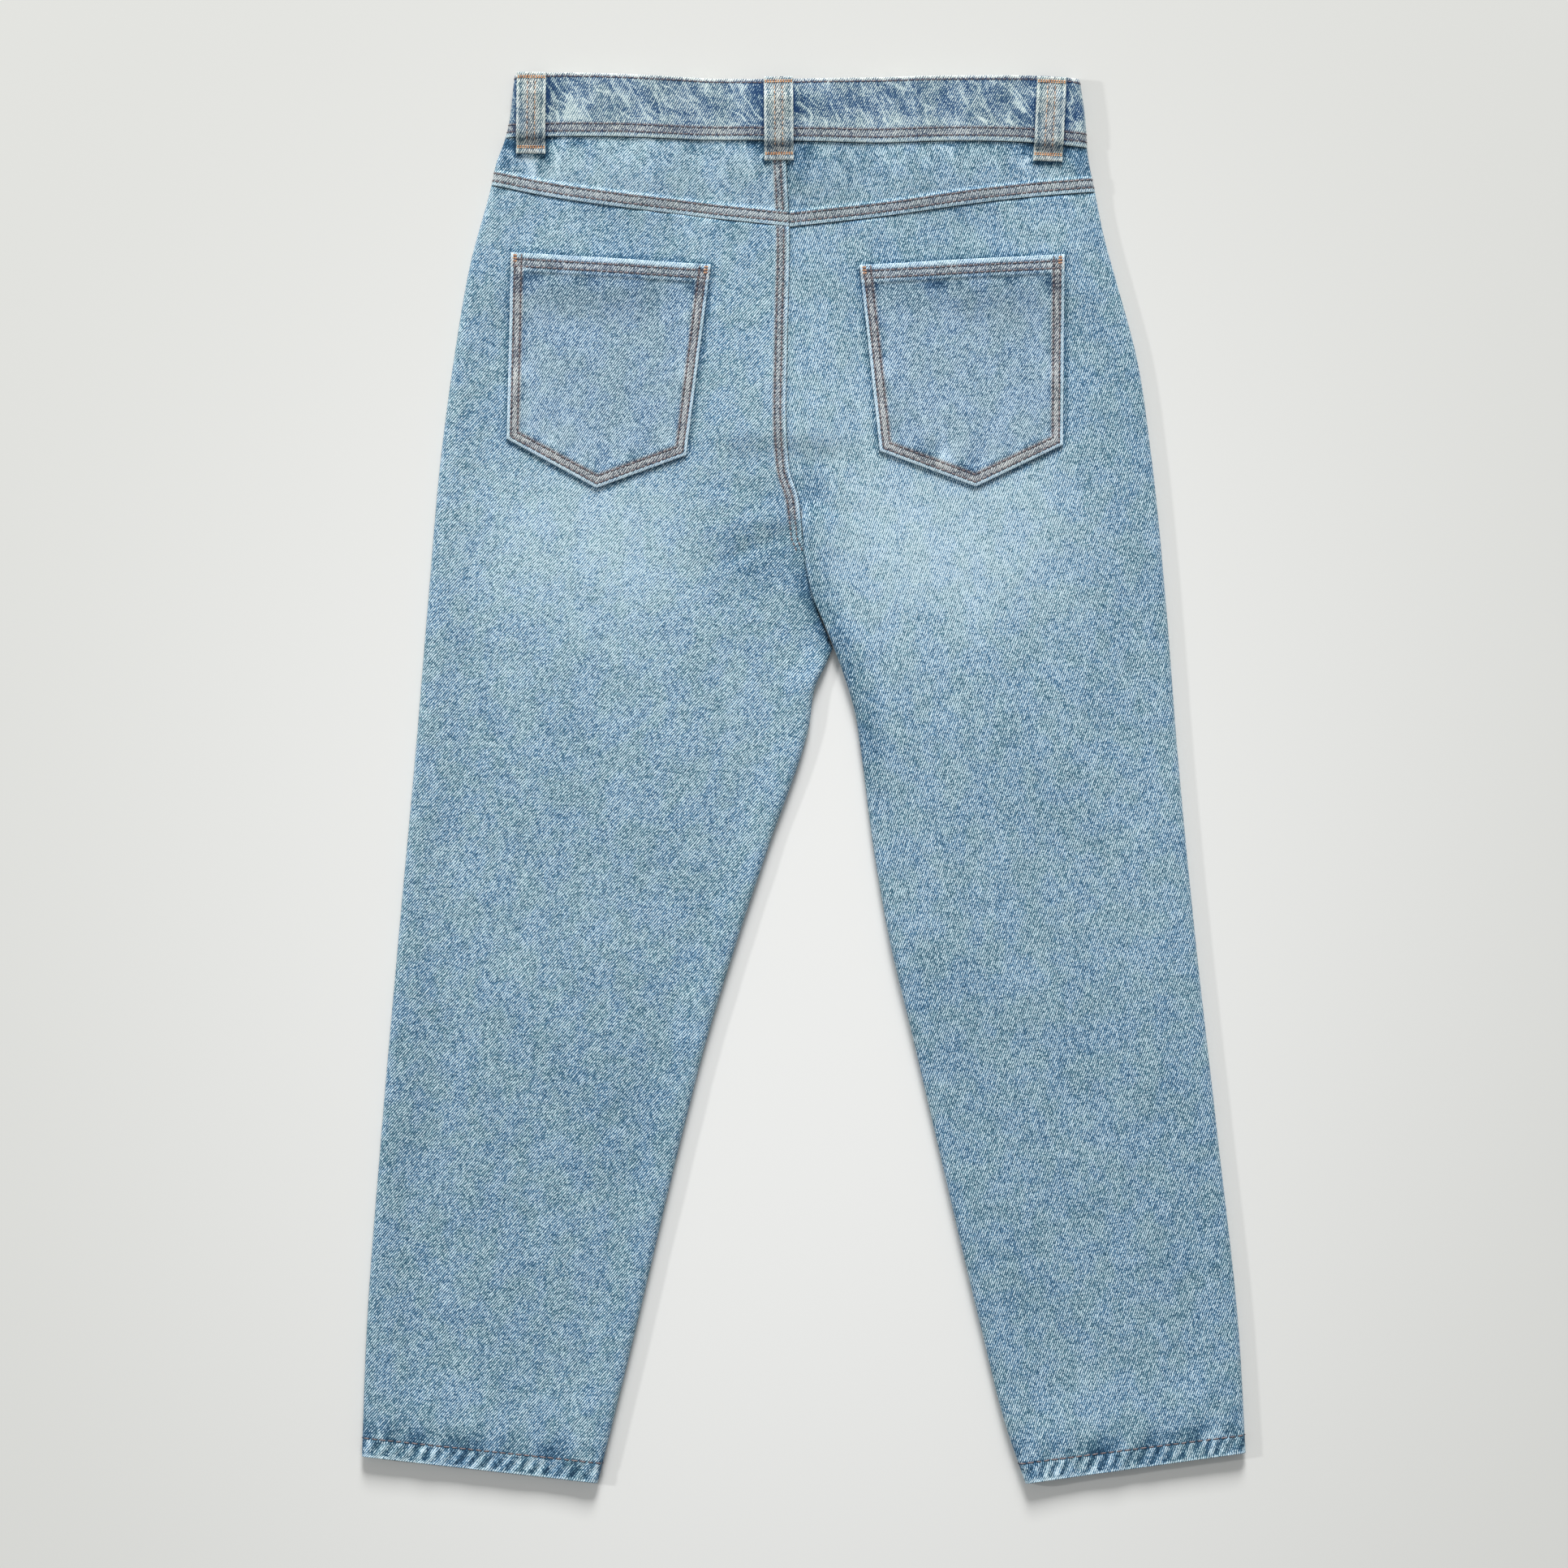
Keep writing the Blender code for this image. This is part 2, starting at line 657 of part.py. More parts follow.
def waistband(name, material):
    """The doubled waistband: one strip from the outer lap, round the left side, the back and the right side."""
    lap_x = seat_seam(400 * MM)
    half_turn = np.array([0, 0.25, 0.5, 0.75, 1.0]) * math.pi
    rounding = 4.6 * MM
    grid = []
    for v in [0, 0.3, 0.65, 1]:

        def back_y(x, v=v):
            return waist_seam(x) * (1 - v) + waist_top(x) * v

        def front_y(x, v=v):
            return front_waist_seam(x) * (1 - v) + front_waist_top(x) * v

        edge_y = {}
        for side, edge in (("left", left_side), ("right", right_side)):
            guess = back_y(edge(410 * MM))
            edge_y[side] = float(back_y(edge(guess)))
        left_x = float(left_side(edge_y["left"]))
        right_x = float(right_side(edge_y["right"]))

        def outer_top(x, back_y=back_y):
            return back_face(x, back_y(x)) + WAIST_STEP

        def outer_under(x, front_y=front_y):
            return front_face(x, front_y(x)) - WAIST_STEP

        points = []
        lap = np.linspace(float(lap_x) + LAP_HALF, float(lap_x) - LAP_HALF, 5)
        x = np.concatenate([lap, np.linspace(lap[-1], left_x + rounding, 9)[1:-1]])
        points.append(np.stack([x, front_y(x), outer_under(x)], axis=1))
        for side, edge_x, inwards, angles in (
            ("left", left_x, 1, half_turn),
            ("right", right_x, -1, half_turn[::-1]),
        ):
            at = edge_x + inwards * rounding
            high = float(outer_top(at))
            low = float(outer_under(at))
            x = at - inwards * rounding * np.sin(angles)
            z = low + (high - low) * (1 - np.cos(angles)) / 2
            y = np.where(angles > math.pi * 0.6, back_y(x), front_y(x))
            turn = np.stack([x, y, z], axis=1)
            if side == "left":
                points.append(turn)
                x = np.linspace(left_x + rounding, right_x - rounding, 22)[1:-1]
                points.append(np.stack([x, back_y(x), outer_top(x)], axis=1))
            else:
                points.append(turn)
        ramp_end = float(lap_x) + LAP_HALF + 1 * MM
        x = np.concatenate(
            [
                np.linspace(right_x - rounding, ramp_end + LAP_RAMP, 6)[1:],
                np.linspace(ramp_end, float(lap_x) - LAP_HALF, 4),
            ]
        )
        over_lap = (WAISTBAND_WALL + LAY_GAP) * near(x - ramp_end, LAP_RAMP)
        points.append(np.stack([x, front_y(x), outer_under(x) + over_lap], axis=1))
        grid.append(np.concatenate(points))
    grid = np.array(grid)
    walls = np.full(grid.shape[:2], WAISTBAND_WALL)
    return cloth(name, grid, walls, material, flip=True)


def surface_of(objects, under=False):
    """A function that finds the top of the finished meshes over a point of the plan, or their underside."""
    graph = bpy.context.evaluated_depsgraph_get()
    trees = [BVHTree.FromObject(obj, graph) for obj in objects]
    start = -0.1 if under else 0.1
    heading = Vector((0, 0, 1 if under else -1))

    def at(x, y, around=0.0):
        found = []
        for step_x in (-around, 0, around) if around else (0,):
            for step_y in (-around, 0, around) if around else (0,):
                for tree in trees:
                    hit = tree.ray_cast(Vector((x + step_x, y + step_y, start)), heading)[0]
                    if hit:
                        found.append(hit.z)
        return min(found) if under else max(found)

    return at


def pocket(name, corners, panel, material):
    """A five-sided patch pocket made from the points of the back panel under it, moved out, with a hemmed mouth."""
    top_left, top_right, low_right, tip, low_left = (np.array(c) * MM for c in corners)
    under = surface_of([panel])
    hem = 0.085
    grid, walls = [], []
    across = np.array([0, 0.1, 0.2, 0.35, 0.5, 0.65, 0.8, 0.9, 1.0])
    for v in [0, hem, hem + 0.012, 0.2, 0.33, 0.46, 0.6, 0.74, 0.87, 1.0]:
        row, wall = [], []
        for u in across:
            top = top_left + (top_right - top_left) * u
            if u <= 0.5:
                bottom = low_left + (tip - low_left) * u * 2
            else:
                bottom = tip + (low_right - tip) * (u * 2 - 1)
            x, y = top + (bottom - top) * v
            thick = DENIM + (POCKET_HEM_RISE if v <= hem else 0)
            mouth = POCKET_MOUTH_RISE * float(near(v - hem, 0.3)) * math.sin(math.pi * u) ** 2
            row.append((x, y, under(x, y) + LAY_GAP + mouth + thick))
            wall.append(thick)
        grid.append(row)
        walls.append(wall)
    return cloth(name, np.array(grid), np.array(walls), material, flip=False)


def belt_loop(loop, sewn_on, material, hidden):
    """A belt loop: a folded strip, sewn down at both ends and standing a little off the waistband between."""
    length = math.hypot(loop.top_x - loop.bottom_x, loop.top_y - loop.bottom_y) * MM
    start = np.array([loop.top_x, loop.top_y]) * MM
    along = (np.array([loop.bottom_x, loop.bottom_y]) * MM - start) / length
    sideways = np.array([-along[1], along[0]])
    stand = 0.0 if hidden else 1.9 * MM
    out = -1 if hidden else 1
    ground = surface_of(sewn_on, under=hidden)
    sewn = 6.0 * MM
    stations = np.array([0, 0.06, 0.12, 0.2, 0.32, 0.5, 0.66, 0.75, 0.8, 0.85, 0.9, 0.95, 1.0]) * length
    grid = []
    for s in stations:
        middle = start + along * s
        rise = stand * smooth((s - sewn) / (8 * MM)) * smooth((length - sewn - s) / (8 * MM))
        row = []
        for w in np.linspace(-LOOP_WIDTH / 2, LOOP_WIDTH / 2, 4):
            x, y = middle + sideways * w
            z = ground(x, y, around=2.2 * MM) + out * (LAY_GAP + rise + LOOP_WALL)
            row.append((x, y, z))
        grid.append(row)
    walls = np.full((len(stations), 4), LOOP_WALL)
    return cloth(loop.name, np.array(grid), walls, material, flip=hidden)


def cloth(name, grid, walls, material, flip):
    """A piece of cloth: a grid of points on its outer face, given a wall inwards by a Solidify modifier.

    Faces look along the rows' direction crossed with the columns', or the other way if flip is set.
    """
    rows, columns = grid.shape[:2]
    corner = np.arange(rows * columns).reshape(rows, columns)
    faces = np.stack([corner[:-1, :-1], corner[1:, :-1], corner[1:, 1:], corner[:-1, 1:]], axis=-1)
    faces = faces.reshape(-1, 4)
    if flip:
        faces = faces[:, ::-1]
    mesh = bpy.data.meshes.new(name)
    mesh.from_pydata(grid.reshape(-1, 3).tolist(), [], faces.tolist())
    mesh.materials.append(material)
    mesh.shade_smooth()
    obj = bpy.data.objects.new(name, mesh)
    jeans.objects.link(obj)
    thickest = float(walls.max())
    group = obj.vertex_groups.new(name="wall")
    for index, wall in enumerate(walls.reshape(-1)):
        group.add([index], float(wall) / thickest, "REPLACE")
    solid = obj.modifiers.new("wall", "SOLIDIFY")
    solid.thickness = thickest
    solid.offset = -1
    solid.vertex_group = "wall"
    solid.thickness_vertex_group = 0.0
    solid.use_quality_normals = True
    return obj


def jeans_button(name, material):
    """The waistband button: a low domed cap on a shank, turned about its own axis, cap down."""
    x, y = button_place()
    profile = [
        (0.0, BUTTON_HEIGHT),
        (BUTTON_SHANK_RADIUS, BUTTON_HEIGHT),
        (BUTTON_SHANK_RADIUS, BUTTON_CAP),
        (BUTTON_RADIUS - 0.4 * MM, BUTTON_CAP),
        (BUTTON_RADIUS, BUTTON_CAP - 0.5 * MM),
        (BUTTON_RADIUS, 0.9 * MM),
        (BUTTON_RADIUS - 1.2 * MM, 0.15 * MM),
        (BUTTON_RADIUS - 2.4 * MM, 0.0),
        (0.0, 0.0),
    ]
    mesh = bpy.data.meshes.new(name)
    mesh.from_pydata([(r, 0, z) for r, z in profile], [(i, i + 1) for i in range(len(profile) - 1)], [])
    mesh.materials.append(material)
    obj = bpy.data.objects.new(name, mesh)
    jeans.objects.link(obj)
    obj.location = (float(x), float(y), 0)
    turn = obj.modifiers.new("turn", "SCREW")
    turn.steps = 28
    turn.render_steps = 28
    turn.use_merge_vertices = True
    turn.merge_threshold = 0.00001
    turn.use_smooth_shade = False
    return obj


def finish(name, colour, roughness, metallic=0.0):
    material = bpy.data.materials.new(name)
    material.use_nodes = True
    shader = material.node_tree.nodes["Principled BSDF"]
    shader.inputs["Base Color"].default_value = colour
    shader.inputs["Roughness"].default_value = roughness
    shader.inputs["Metallic"].default_value = metallic
    return material


for old in list(bpy.data.objects):
    bpy.data.objects.remove(old)
jeans = bpy.data.collections.new("mom_jeans")
bpy.context.scene.collection.children.link(jeans)

denim = finish("denim", DENIM_COLOUR, 0.85)
pocket_denim = finish("pocket_denim", POCKET_COLOUR, 0.85)
yokes, fronts = {}, {}
for side_name, pocket_corners in (("left", LEFT_POCKET), ("right", RIGHT_POCKET)):
    back = back_panel(f"back_{side_name}", side_name, denim)
    fronts[side_name] = front_panel(f"front_{side_name}", side_name, denim)
    yokes[side_name] = yoke(f"yoke_{side_name}", side_name, denim)
    facing(f"facing_{side_name}", side_name, denim)
    bpy.context.view_layer.update()
    pocket(f"pocket_{side_name}", pocket_corners, back, pocket_denim)

band = waistband("waistband", finish("waistband_denim", DENIM_COLOUR, 0.85))
bpy.context.view_layer.update()
loop_finish = finish("loop_denim", LOOP_COLOUR, 0.88)
for each in BACK_LOOPS:
    belt_loop(each, [band, yokes["left"], yokes["right"]], loop_finish, hidden=False)
for each in FRONT_LOOPS:
    belt_loop(each, [band, fronts["left"], fronts["right"]], loop_finish, hidden=True)
jeans_button("button", finish("button_metal", BUTTON_COLOUR, 0.4, metallic=1.0))
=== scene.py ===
"""High-waisted mom jeans in light washed denim, laid flat on a pale board with the back up.

The sections follow the jeans as they are sewn: the view and the board, the back legs, the back pockets, the
yoke, the fronts and their pocket facings, the waistband, the belt loops, the button, and last the stitching.
Lengths are in metres. X is across the jeans, Y runs from the hems to the waist, and Z is up from the board.
"""

import math

import bpy
import numpy as np
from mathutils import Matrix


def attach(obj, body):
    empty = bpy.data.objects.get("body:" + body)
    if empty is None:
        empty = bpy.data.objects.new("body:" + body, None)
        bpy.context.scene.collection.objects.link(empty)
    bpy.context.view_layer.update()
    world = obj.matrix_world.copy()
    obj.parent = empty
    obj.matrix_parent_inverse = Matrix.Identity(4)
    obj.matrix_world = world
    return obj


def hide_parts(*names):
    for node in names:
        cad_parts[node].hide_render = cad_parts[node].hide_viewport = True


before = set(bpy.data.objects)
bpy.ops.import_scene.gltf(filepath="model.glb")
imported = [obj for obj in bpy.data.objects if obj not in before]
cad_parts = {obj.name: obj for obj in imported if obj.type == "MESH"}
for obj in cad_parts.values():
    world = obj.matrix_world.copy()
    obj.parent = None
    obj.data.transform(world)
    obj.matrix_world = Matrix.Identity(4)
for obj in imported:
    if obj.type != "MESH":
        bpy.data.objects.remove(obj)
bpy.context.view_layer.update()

# The view and the board. The photograph looks straight down from about three metres, and half a millimetre of
# denim is one of its 1932 pixels. A large soft light stands beyond the waist, a weak one on the left, and the
# rest of the light is even. The jeans lie on a smooth pale board, whose colour is painted darker towards its
# corners: a painted falloff of the light.
MM = 0.001
eye = bpy.data.cameras.new("eye")
eye.sensor_width = 36
eye.lens = 36 * 3.0 / (1932 * 0.5 * MM)
eye.clip_end = 20
camera = bpy.data.objects.new("eye", eye)
camera.location = (-12.2 * MM, -3.5 * MM, 3.008)
bpy.context.scene.collection.objects.link(camera)
bpy.context.scene.camera = camera
bpy.context.scene.view_settings.view_transform = "Standard"

for name, place, size, power in (("window", (0.4, 9.5, 4.5), 3.4, 1500), ("lamp", (-5.0, 0.6, 2.6), 0.35, 88)):
    lamp = bpy.data.lights.new(name, "AREA")
    lamp.size = size
    lamp.energy = power
    lamp_object = bpy.data.objects.new(name, lamp)
    lamp_object.location = place
    lean = math.atan2(math.hypot(place[0], place[1]), place[2])
    lamp_object.rotation_euler = (lean, 0, math.atan2(place[0], -place[1]))
    bpy.context.scene.collection.objects.link(lamp_object)
sky = bpy.data.worlds.new("even light")
sky.use_nodes = True
sky.node_tree.nodes["Background"].inputs["Color"].default_value = (0.97, 0.99, 1.0, 1)
sky.node_tree.nodes["Background"].inputs["Strength"].default_value = 0.32
bpy.context.scene.world = sky


class Link:
    """One output of a shader node. Python's arithmetic on it adds Math nodes."""

    def __init__(self, finish, socket):
        self.finish = finish
        self.socket = socket

    def other(self, index):
        """Another output of the same node."""
        return Link(self.finish, self.socket.node.outputs[index])

    def maths(self, operation, *values):
        return self.finish.node("ShaderNodeMath", {"operation": operation}, dict(enumerate(values)))

    def __add__(self, value):
        return self.maths("ADD", self, value)

    def __radd__(self, value):
        return self.maths("ADD", value, self)

    def __sub__(self, value):
        return self.maths("SUBTRACT", self, value)

    def __rsub__(self, value):
        return self.maths("SUBTRACT", value, self)

    def __mul__(self, value):
        return self.maths("MULTIPLY", self, value)

    def __rmul__(self, value):
        return self.maths("MULTIPLY", value, self)

    def __truediv__(self, value):
        return self.maths("DIVIDE", self, value)

    def __pow__(self, value):
        return self.maths("POWER", self, value)

    def __abs__(self):
        return self.maths("ABSOLUTE", self)

    def __floor__(self):
        return self.maths("FLOOR", self)

    def between(self, low, high):
        """0 at low, 1 at high, smooth between them and held beyond."""
        settings = {"interpolation_type": "SMOOTHSTEP"}
        return self.finish.node("ShaderNodeMapRange", settings, {"Value": self, "From Min": low, "From Max": high})

    def wave(self):
        """From 0 to 1 and back, with a ridge at each whole number: half of one plus the cosine."""
        return 0.5 + 0.5 * self.maths("COSINE", self * math.tau)


class Finish:
    """A material and its one method that adds nodes."""

    def __init__(self, name, roughness, metallic=0.0, sheen=0.0):
        self.material = bpy.data.materials.new(name)
        self.material.use_nodes = True
        self.tree = self.material.node_tree
        self.shader = self.tree.nodes["Principled BSDF"]
        self.shader.inputs["Roughness"].default_value = roughness
        self.shader.inputs["Metallic"].default_value = metallic
        self.shader.inputs["Sheen Weight"].default_value = sheen
        self.shader.inputs["Specular IOR Level"].default_value = 0.5 if metallic else 0.2

    def node(self, kind, settings, sockets, out=0):
        made = self.tree.nodes.new(kind)
        for key, value in settings.items():
            setattr(made, key, value)
        for key, value in sockets.items():
            if isinstance(value, Link):
                self.tree.links.new(value.socket, made.inputs[key])
            else:
                made.inputs[key].default_value = value
        return Link(self, made.outputs[out])

    def mix(self, amount, low, high):
        """The colour low where amount is 0 and high where it is 1."""
        return self.node("ShaderNodeMix", {"data_type": "RGBA"}, {0: amount, 6: low, 7: high}, out=2)

    def noise(self, x, y, seed, detail=1.0):
        """Uneven values about 0.5, with a lump to each unit of x and y."""
        where = self.node("ShaderNodeCombineXYZ", {}, {0: x, 1: y, 2: float(seed)})
        return self.node("ShaderNodeTexNoise", {}, {"Vector": where, "Scale": 1.0, "Detail": detail})

    def cells(self, x, y, seed):
        """A value from 0 to 1 for each unit of x and y, with nothing in common with the next one's."""
        where = self.node("ShaderNodeCombineXYZ", {}, {0: math.floor(x), 1: math.floor(y), 2: float(seed)})
        return self.node("ShaderNodeTexWhiteNoise", {}, {"Vector": where})

    def give(self, socket, value):
        self.tree.links.new(value.socket, self.shader.inputs[socket])

    def bump(self, height, rise):
        """Bumps whose height from 0 to 1 is rise metres."""
        self.give("Normal", self.node("ShaderNodeBump", {}, {"Height": height, "Distance": rise, "Strength": 1.0}))


def shown(red, green, blue):
    """The linear colour of one that a screen shows, whose parts are from 0 to 255, by the sRGB curve."""
    values = np.array([red, green, blue]) / 255
    return (*np.where(values < 0.04045, values / 12.92, ((values + 0.055) / 1.055) ** 2.4).tolist(), 1.0)


board_mesh = bpy.data.meshes.new("floor")
board_mesh.from_pydata([(x, y, -0.6 * MM) for x, y in ((-5, -5), (5, -5), (5, 5), (-5, 5))], [], [(0, 1, 2, 3)])
board = bpy.data.objects.new("floor", board_mesh)
bpy.context.scene.collection.objects.link(board)
pale_board = Finish("pale board", 0.75)
from_middle = pale_board.node("ShaderNodeTexCoord", {}, {}, out=3)
stretch, shift = (1.3, 1.0, 1.0), (0.0, 0.12, 0.0)
from_middle = pale_board.node(
    "ShaderNodeVectorMath", {"operation": "MULTIPLY_ADD"}, {0: from_middle, 1: stretch, 2: shift}
)
from_middle = pale_board.node("ShaderNodeVectorMath", {"operation": "LENGTH"}, {0: from_middle}, out=1)
# The board's colour darkens outwards from near the middle: a painted falloff of the light.
pale_board.give(
    "Base Color", pale_board.mix(from_middle.between(0.05, 0.85), shown(238, 238, 236), shown(217, 217, 213))
)
board_mesh.materials.append(pale_board.material)


# The back legs. Each is one piece of cotton twill denim, 1.2 mm thick, from the yoke down to the hem. The left
# one is felled over the right one down the seat, both fold round to the front at the side seam and the inseam,
# and the right one lies over the left one at the crotch. The cloth is stonewashed, and rubbed pale in two ovals
# below the pockets.
DENIM = 1.2 * MM
SEAM_GAP = 0.3 * MM
LAY_GAP = 0.35 * MM
FELL_RISE = 1.0 * MM
WAIST_STEP = 1.2 * MM
EDGE_ROUND = 4.0 * MM
FLY_END = 235 * MM
FLY_TAPER = 20 * MM
HEM_DEPTH = 13 * MM
CROTCH = 81 * MM


def smooth(t):
    """Rises from 0 to 1 with no slope at either end: three t squared less two t cubed."""
    t = np.clip(t, 0.0, 1.0)
    return t * t * (3 - 2 * t)


def near(distance, reach):
    """1 where distance is 0 or less, falling to 0 at reach."""
    return 1 - smooth(np.asarray(distance, float) / reach)


def strip(distance, start, end, soft=0.7 * MM):
    """1 between start and end, and 0 beyond them."""
    return smooth((distance - start) / soft + 0.5) * near(distance - end + soft / 2, soft)


def ditches(distance, *rows):
    """1 along each row of stitches, which pulls a narrow ditch in the cloth, and 0 beyond 0.7 mm from it."""
    return sum(near(np.abs(distance - row * MM) - 0.3 * MM, 0.6 * MM) for row in rows)


def curve(*pairs):
    """A smooth function through pairs of place and value, in millimetres.

    Each span is a cubic whose end slopes come from the neighbouring points.
    """
    place, value = np.array(sorted(pairs), float).T * MM
    slope = np.gradient(value, place)

    def at(p):
        p = np.asarray(p, float)
        i = np.clip(np.searchsorted(place, p) - 1, 0, len(place) - 2)
        span = place[i + 1] - place[i]
        t = np.clip((p - place[i]) / span, 0.0, 1.0)
        ease_in, ease_out = t * (1 - t) ** 2 * span, t * t * (t - 1) * span
        rise = smooth(t)
        return value[i] * (1 - rise) + value[i + 1] * rise + slope[i] * ease_in + slope[i + 1] * ease_out

    return at


SIDE = {
    "left": curve(
        (434, -178.2), (394.5, -184.2), (380, -189.7), (366, -192.7), (320, -205.2), (260, -215.7), (200, -223.7),
        (110, -231.7), (20, -239.2), (-100, -250.2), (-220, -260.7), (-340, -269.7), (-419, -272.7),
    ),
    "right": curve(
        (434, 169.8), (402, 174.1), (388, 174.8), (361, 179.8), (334, 185.3), (304, 193.6), (260, 205.3),
        (200, 214.3), (110, 223.3), (20, 230.3), (-100, 241.8), (-220, 255.3), (-340, 268.3), (-419, 272.8),
    ),
}
INSEAM = {
    "left": curve(
        (81, 18.3), (68, 12.6), (60, 8.5), (30, 2.8), (-40, -21), (-100, -41.1), (-160, -59.6), (-220, -75.1),
        (-340, -103.7), (-435, -127.2),
    ),
    "right": curve(
        (81, 18.3), (62, 25.3), (42, 31.3), (20, 34.8), (-40, 42.6), (-100, 53), (-160, 67.3), (-220, 81.3),
        (-340, 109.6), (-400, 124.8), (-435, 136.8),
    ),
}
seat_seam = curve(
    (434, -10.7), (378, -10.7), (340, -8.9), (270, -10), (203, -9.9), (188, -8.2), (174, -3.6), (155, -1.2),
    (130, 1.3), (110, 6.1), (98, 11.2), (81, 18.3),
)
waist_seam = curve(
    (-188.7, 394.6), (-155.7, 395.5), (-116.7, 395.2), (-74.7, 393.8), (-25.7, 392.7), (50.3, 391.9),
    (98.3, 392.6), (142.3, 391.6), (177.3, 388.2),
)
YOKE_SEAM = {
    "left": curve((-194.7, 366.2), (-158.7, 359), (-116.7, 352.7), (-74.7, 347.8), (-39.7, 343.6), (-6.7, 340.1)),
    "right": curve((-10.7, 339.8), (18.3, 343), (66.3, 349), (114.3, 355.5), (146.3, 359), (181.3, 361.6)),
}
SKEW = {
    "left": curve(
        (340, 25.5), (280, 10), (200, 0), (0, 0), (-147, 4), (-237, 7), (-325, 10), (-384, 13.5), (-435, 16.5)
    ),
    "right": curve(
        (340, 21), (280, 10), (200, 0), (0, 0), (-147, 4), (-237, 7), (-325, 9), (-384, 14), (-435, 19)
    ),
}
HEM_Y = {"left": -434.7 * MM, "right": -435 * MM}
GRAIN = {"left": math.radians(-10.5), "right": math.radians(10.5)}
FRONT_LOOPS = {"left": (-102.7, 427.6, -102.7, 377.2), "right": (93.3, 427.0, 93.3, 376.6)}
BUTTON_X, BUTTON_Y = float(seat_seam(404 * MM)), 404 * MM


def front_dip(x):
    """How much lower the front of the waistband sits than the back: a parabola across the waist."""
    return 8 * MM * np.clip(1 - ((x + 3.7 * MM) / (176 * MM)) ** 2, 0.0, 1.0)


def seat_x(y):
    """The line down the middle: the seat seam, or halfway between the legs below it."""
    return np.where(y > CROTCH, seat_seam(y), (INSEAM["left"](y) + INSEAM["right"](y)) / 2)


def floor_lift(x, y):
    """How far the belt loops and the button under the front hold the jeans up, fading with distance."""
    lift = 0.0
    for loop_x, _, _, low in FRONT_LOOPS.values():
        beside = np.maximum(np.abs(x - loop_x * MM) - 11 * MM, 0)
        lift = np.maximum(lift, 2.2 * MM * near(np.hypot(beside, np.maximum(low * MM - y - 2 * MM, 0)), 40 * MM))
    away = np.hypot(x - BUTTON_X, y - BUTTON_Y) - 10.5 * MM
    return np.maximum(lift, 3.3 * MM * near(away, 56 * MM))


def front_face(x, y):
    """The outer face of the front cloth, flat on the board but for what lifts it and the step to the waistband."""
    return floor_lift(x, y) + WAIST_STEP * near(waist_seam(x) - front_dip(x) - y - 6 * MM, 34 * MM)


def hem_line(x):
    """The finished bottom edge of either leg."""
    left = np.interp(x, [-272.7 * MM, -127.2 * MM], [-418.5 * MM, -434.7 * MM])
    return np.where(x < 0, left, np.interp(x, [136.8 * MM, 272.8 * MM], [-435 * MM, -416.2 * MM]))


def back_face(x, y):
    """The outer face of the back cloth: over the front cloth and a space that swells at edges and closings."""
    side = np.minimum(x - SIDE["left"](y), SIDE["right"](y) - x)
    inseam = np.where(x < seat_x(y), INSEAM["left"](y) - x, x - INSEAM["right"](y)) - EDGE_ROUND
    parted = smooth((CROTCH + 6 * MM - y) / (30 * MM))
    swell = 1 - (1 - near(side - EDGE_ROUND, 26 * MM)) * (1 - parted * near(inseam, 26 * MM))
    hem = near(y - hem_line(x) - HEM_DEPTH - 4 * MM, 50 * MM)
    middle = 1.1 * MM + 2.1 * MM * hem
    closing = near(np.abs(x - seat_x(y)) - 22 * MM, 28 * MM) * smooth((y - FLY_END + 2 * FLY_TAPER) / FLY_TAPER)
    facing = near(np.hypot(np.maximum(side - 94 * MM, 0), np.maximum(306 * MM - y, 0)), 30 * MM)
    gap = middle + (3.6 * MM + 0.2 * MM * hem - middle) * swell
    gap = gap + (2.3 * MM * closing + 1.9 * MM * facing * (1 - closing)) * (1 - swell)
    return front_face(x, y) + 2 * DENIM + gap


def ripple(x, y, size, seed):
    """Smooth uneven waves, mostly from -1 to 1, with lumps about size across.

    It is the sum of 16 plane waves, whose directions, lengths and starts come from the seed.
    """
    total = 0.0
    for turn, pitch, start in np.random.default_rng(seed).uniform((0, 0.5, 0), (math.tau, 1.1, math.tau), (16, 3)):
        total = total + np.cos(math.pi * pitch / size * (x * math.cos(turn) + y * math.sin(turn)) + start)
    return total / 4


def puckers(along, away, size, reach, seed):
    """Short creases that a row of stitches draws in the cloth beside it: uneven waves that fade with distance."""
    return ripple(along - 0.45 * away, 0.3 * away, size, seed) * np.exp(-np.maximum(away, 0) / reach)


def trough(x, y, start, end, width):
    """A soft line from start to end, in millimetres: 1 on it, falling off like a bell to its sides and ends."""
    (ax, ay), (bx, by) = np.array(start) * MM, np.array(end) * MM
    length = math.hypot(bx - ax, by - ay)
    t = ((x - ax) * (bx - ax) + (y - ay) * (by - ay)) / length**2
    off = ((x - ax) * (by - ay) - (y - ay) * (bx - ax)) / length
    return np.exp(-((off / (width * MM)) ** 2)) * smooth(t / 0.2 + 0.3) * near(t - 0.45, 0.55)


CROTCH_CREASES = (
    ((-6, 153), (-75, 124), 5.0, -0.75),
    ((-8, 163), (-80, 150), 6.0, 0.45),
    ((-12, 176), (-92, 186), 6.0, -0.35),
    ((4, 168), (66, 160), 6.0, -0.4),
    ((6, 150), (70, 128), 8.0, 0.3),
)


def creases(x, y):
    """The soft folds that run out from the crotch, in millimetres of height."""
    return sum(height * trough(x, y, start, end, width) for start, end, width, height in CROTCH_CREASES)


def fold_lift(x, y):
    """The rise of the right leg towards its fold over the left leg."""
    amount = smooth((176 * MM - y) / (20 * MM)) * smooth((y - 60 * MM) / (30 * MM))
    edge = np.where(y > CROTCH, seat_seam(y), INSEAM["right"](y))
    return 3.1 * MM * amount * near(x - edge - 3 * MM, 26 * MM)


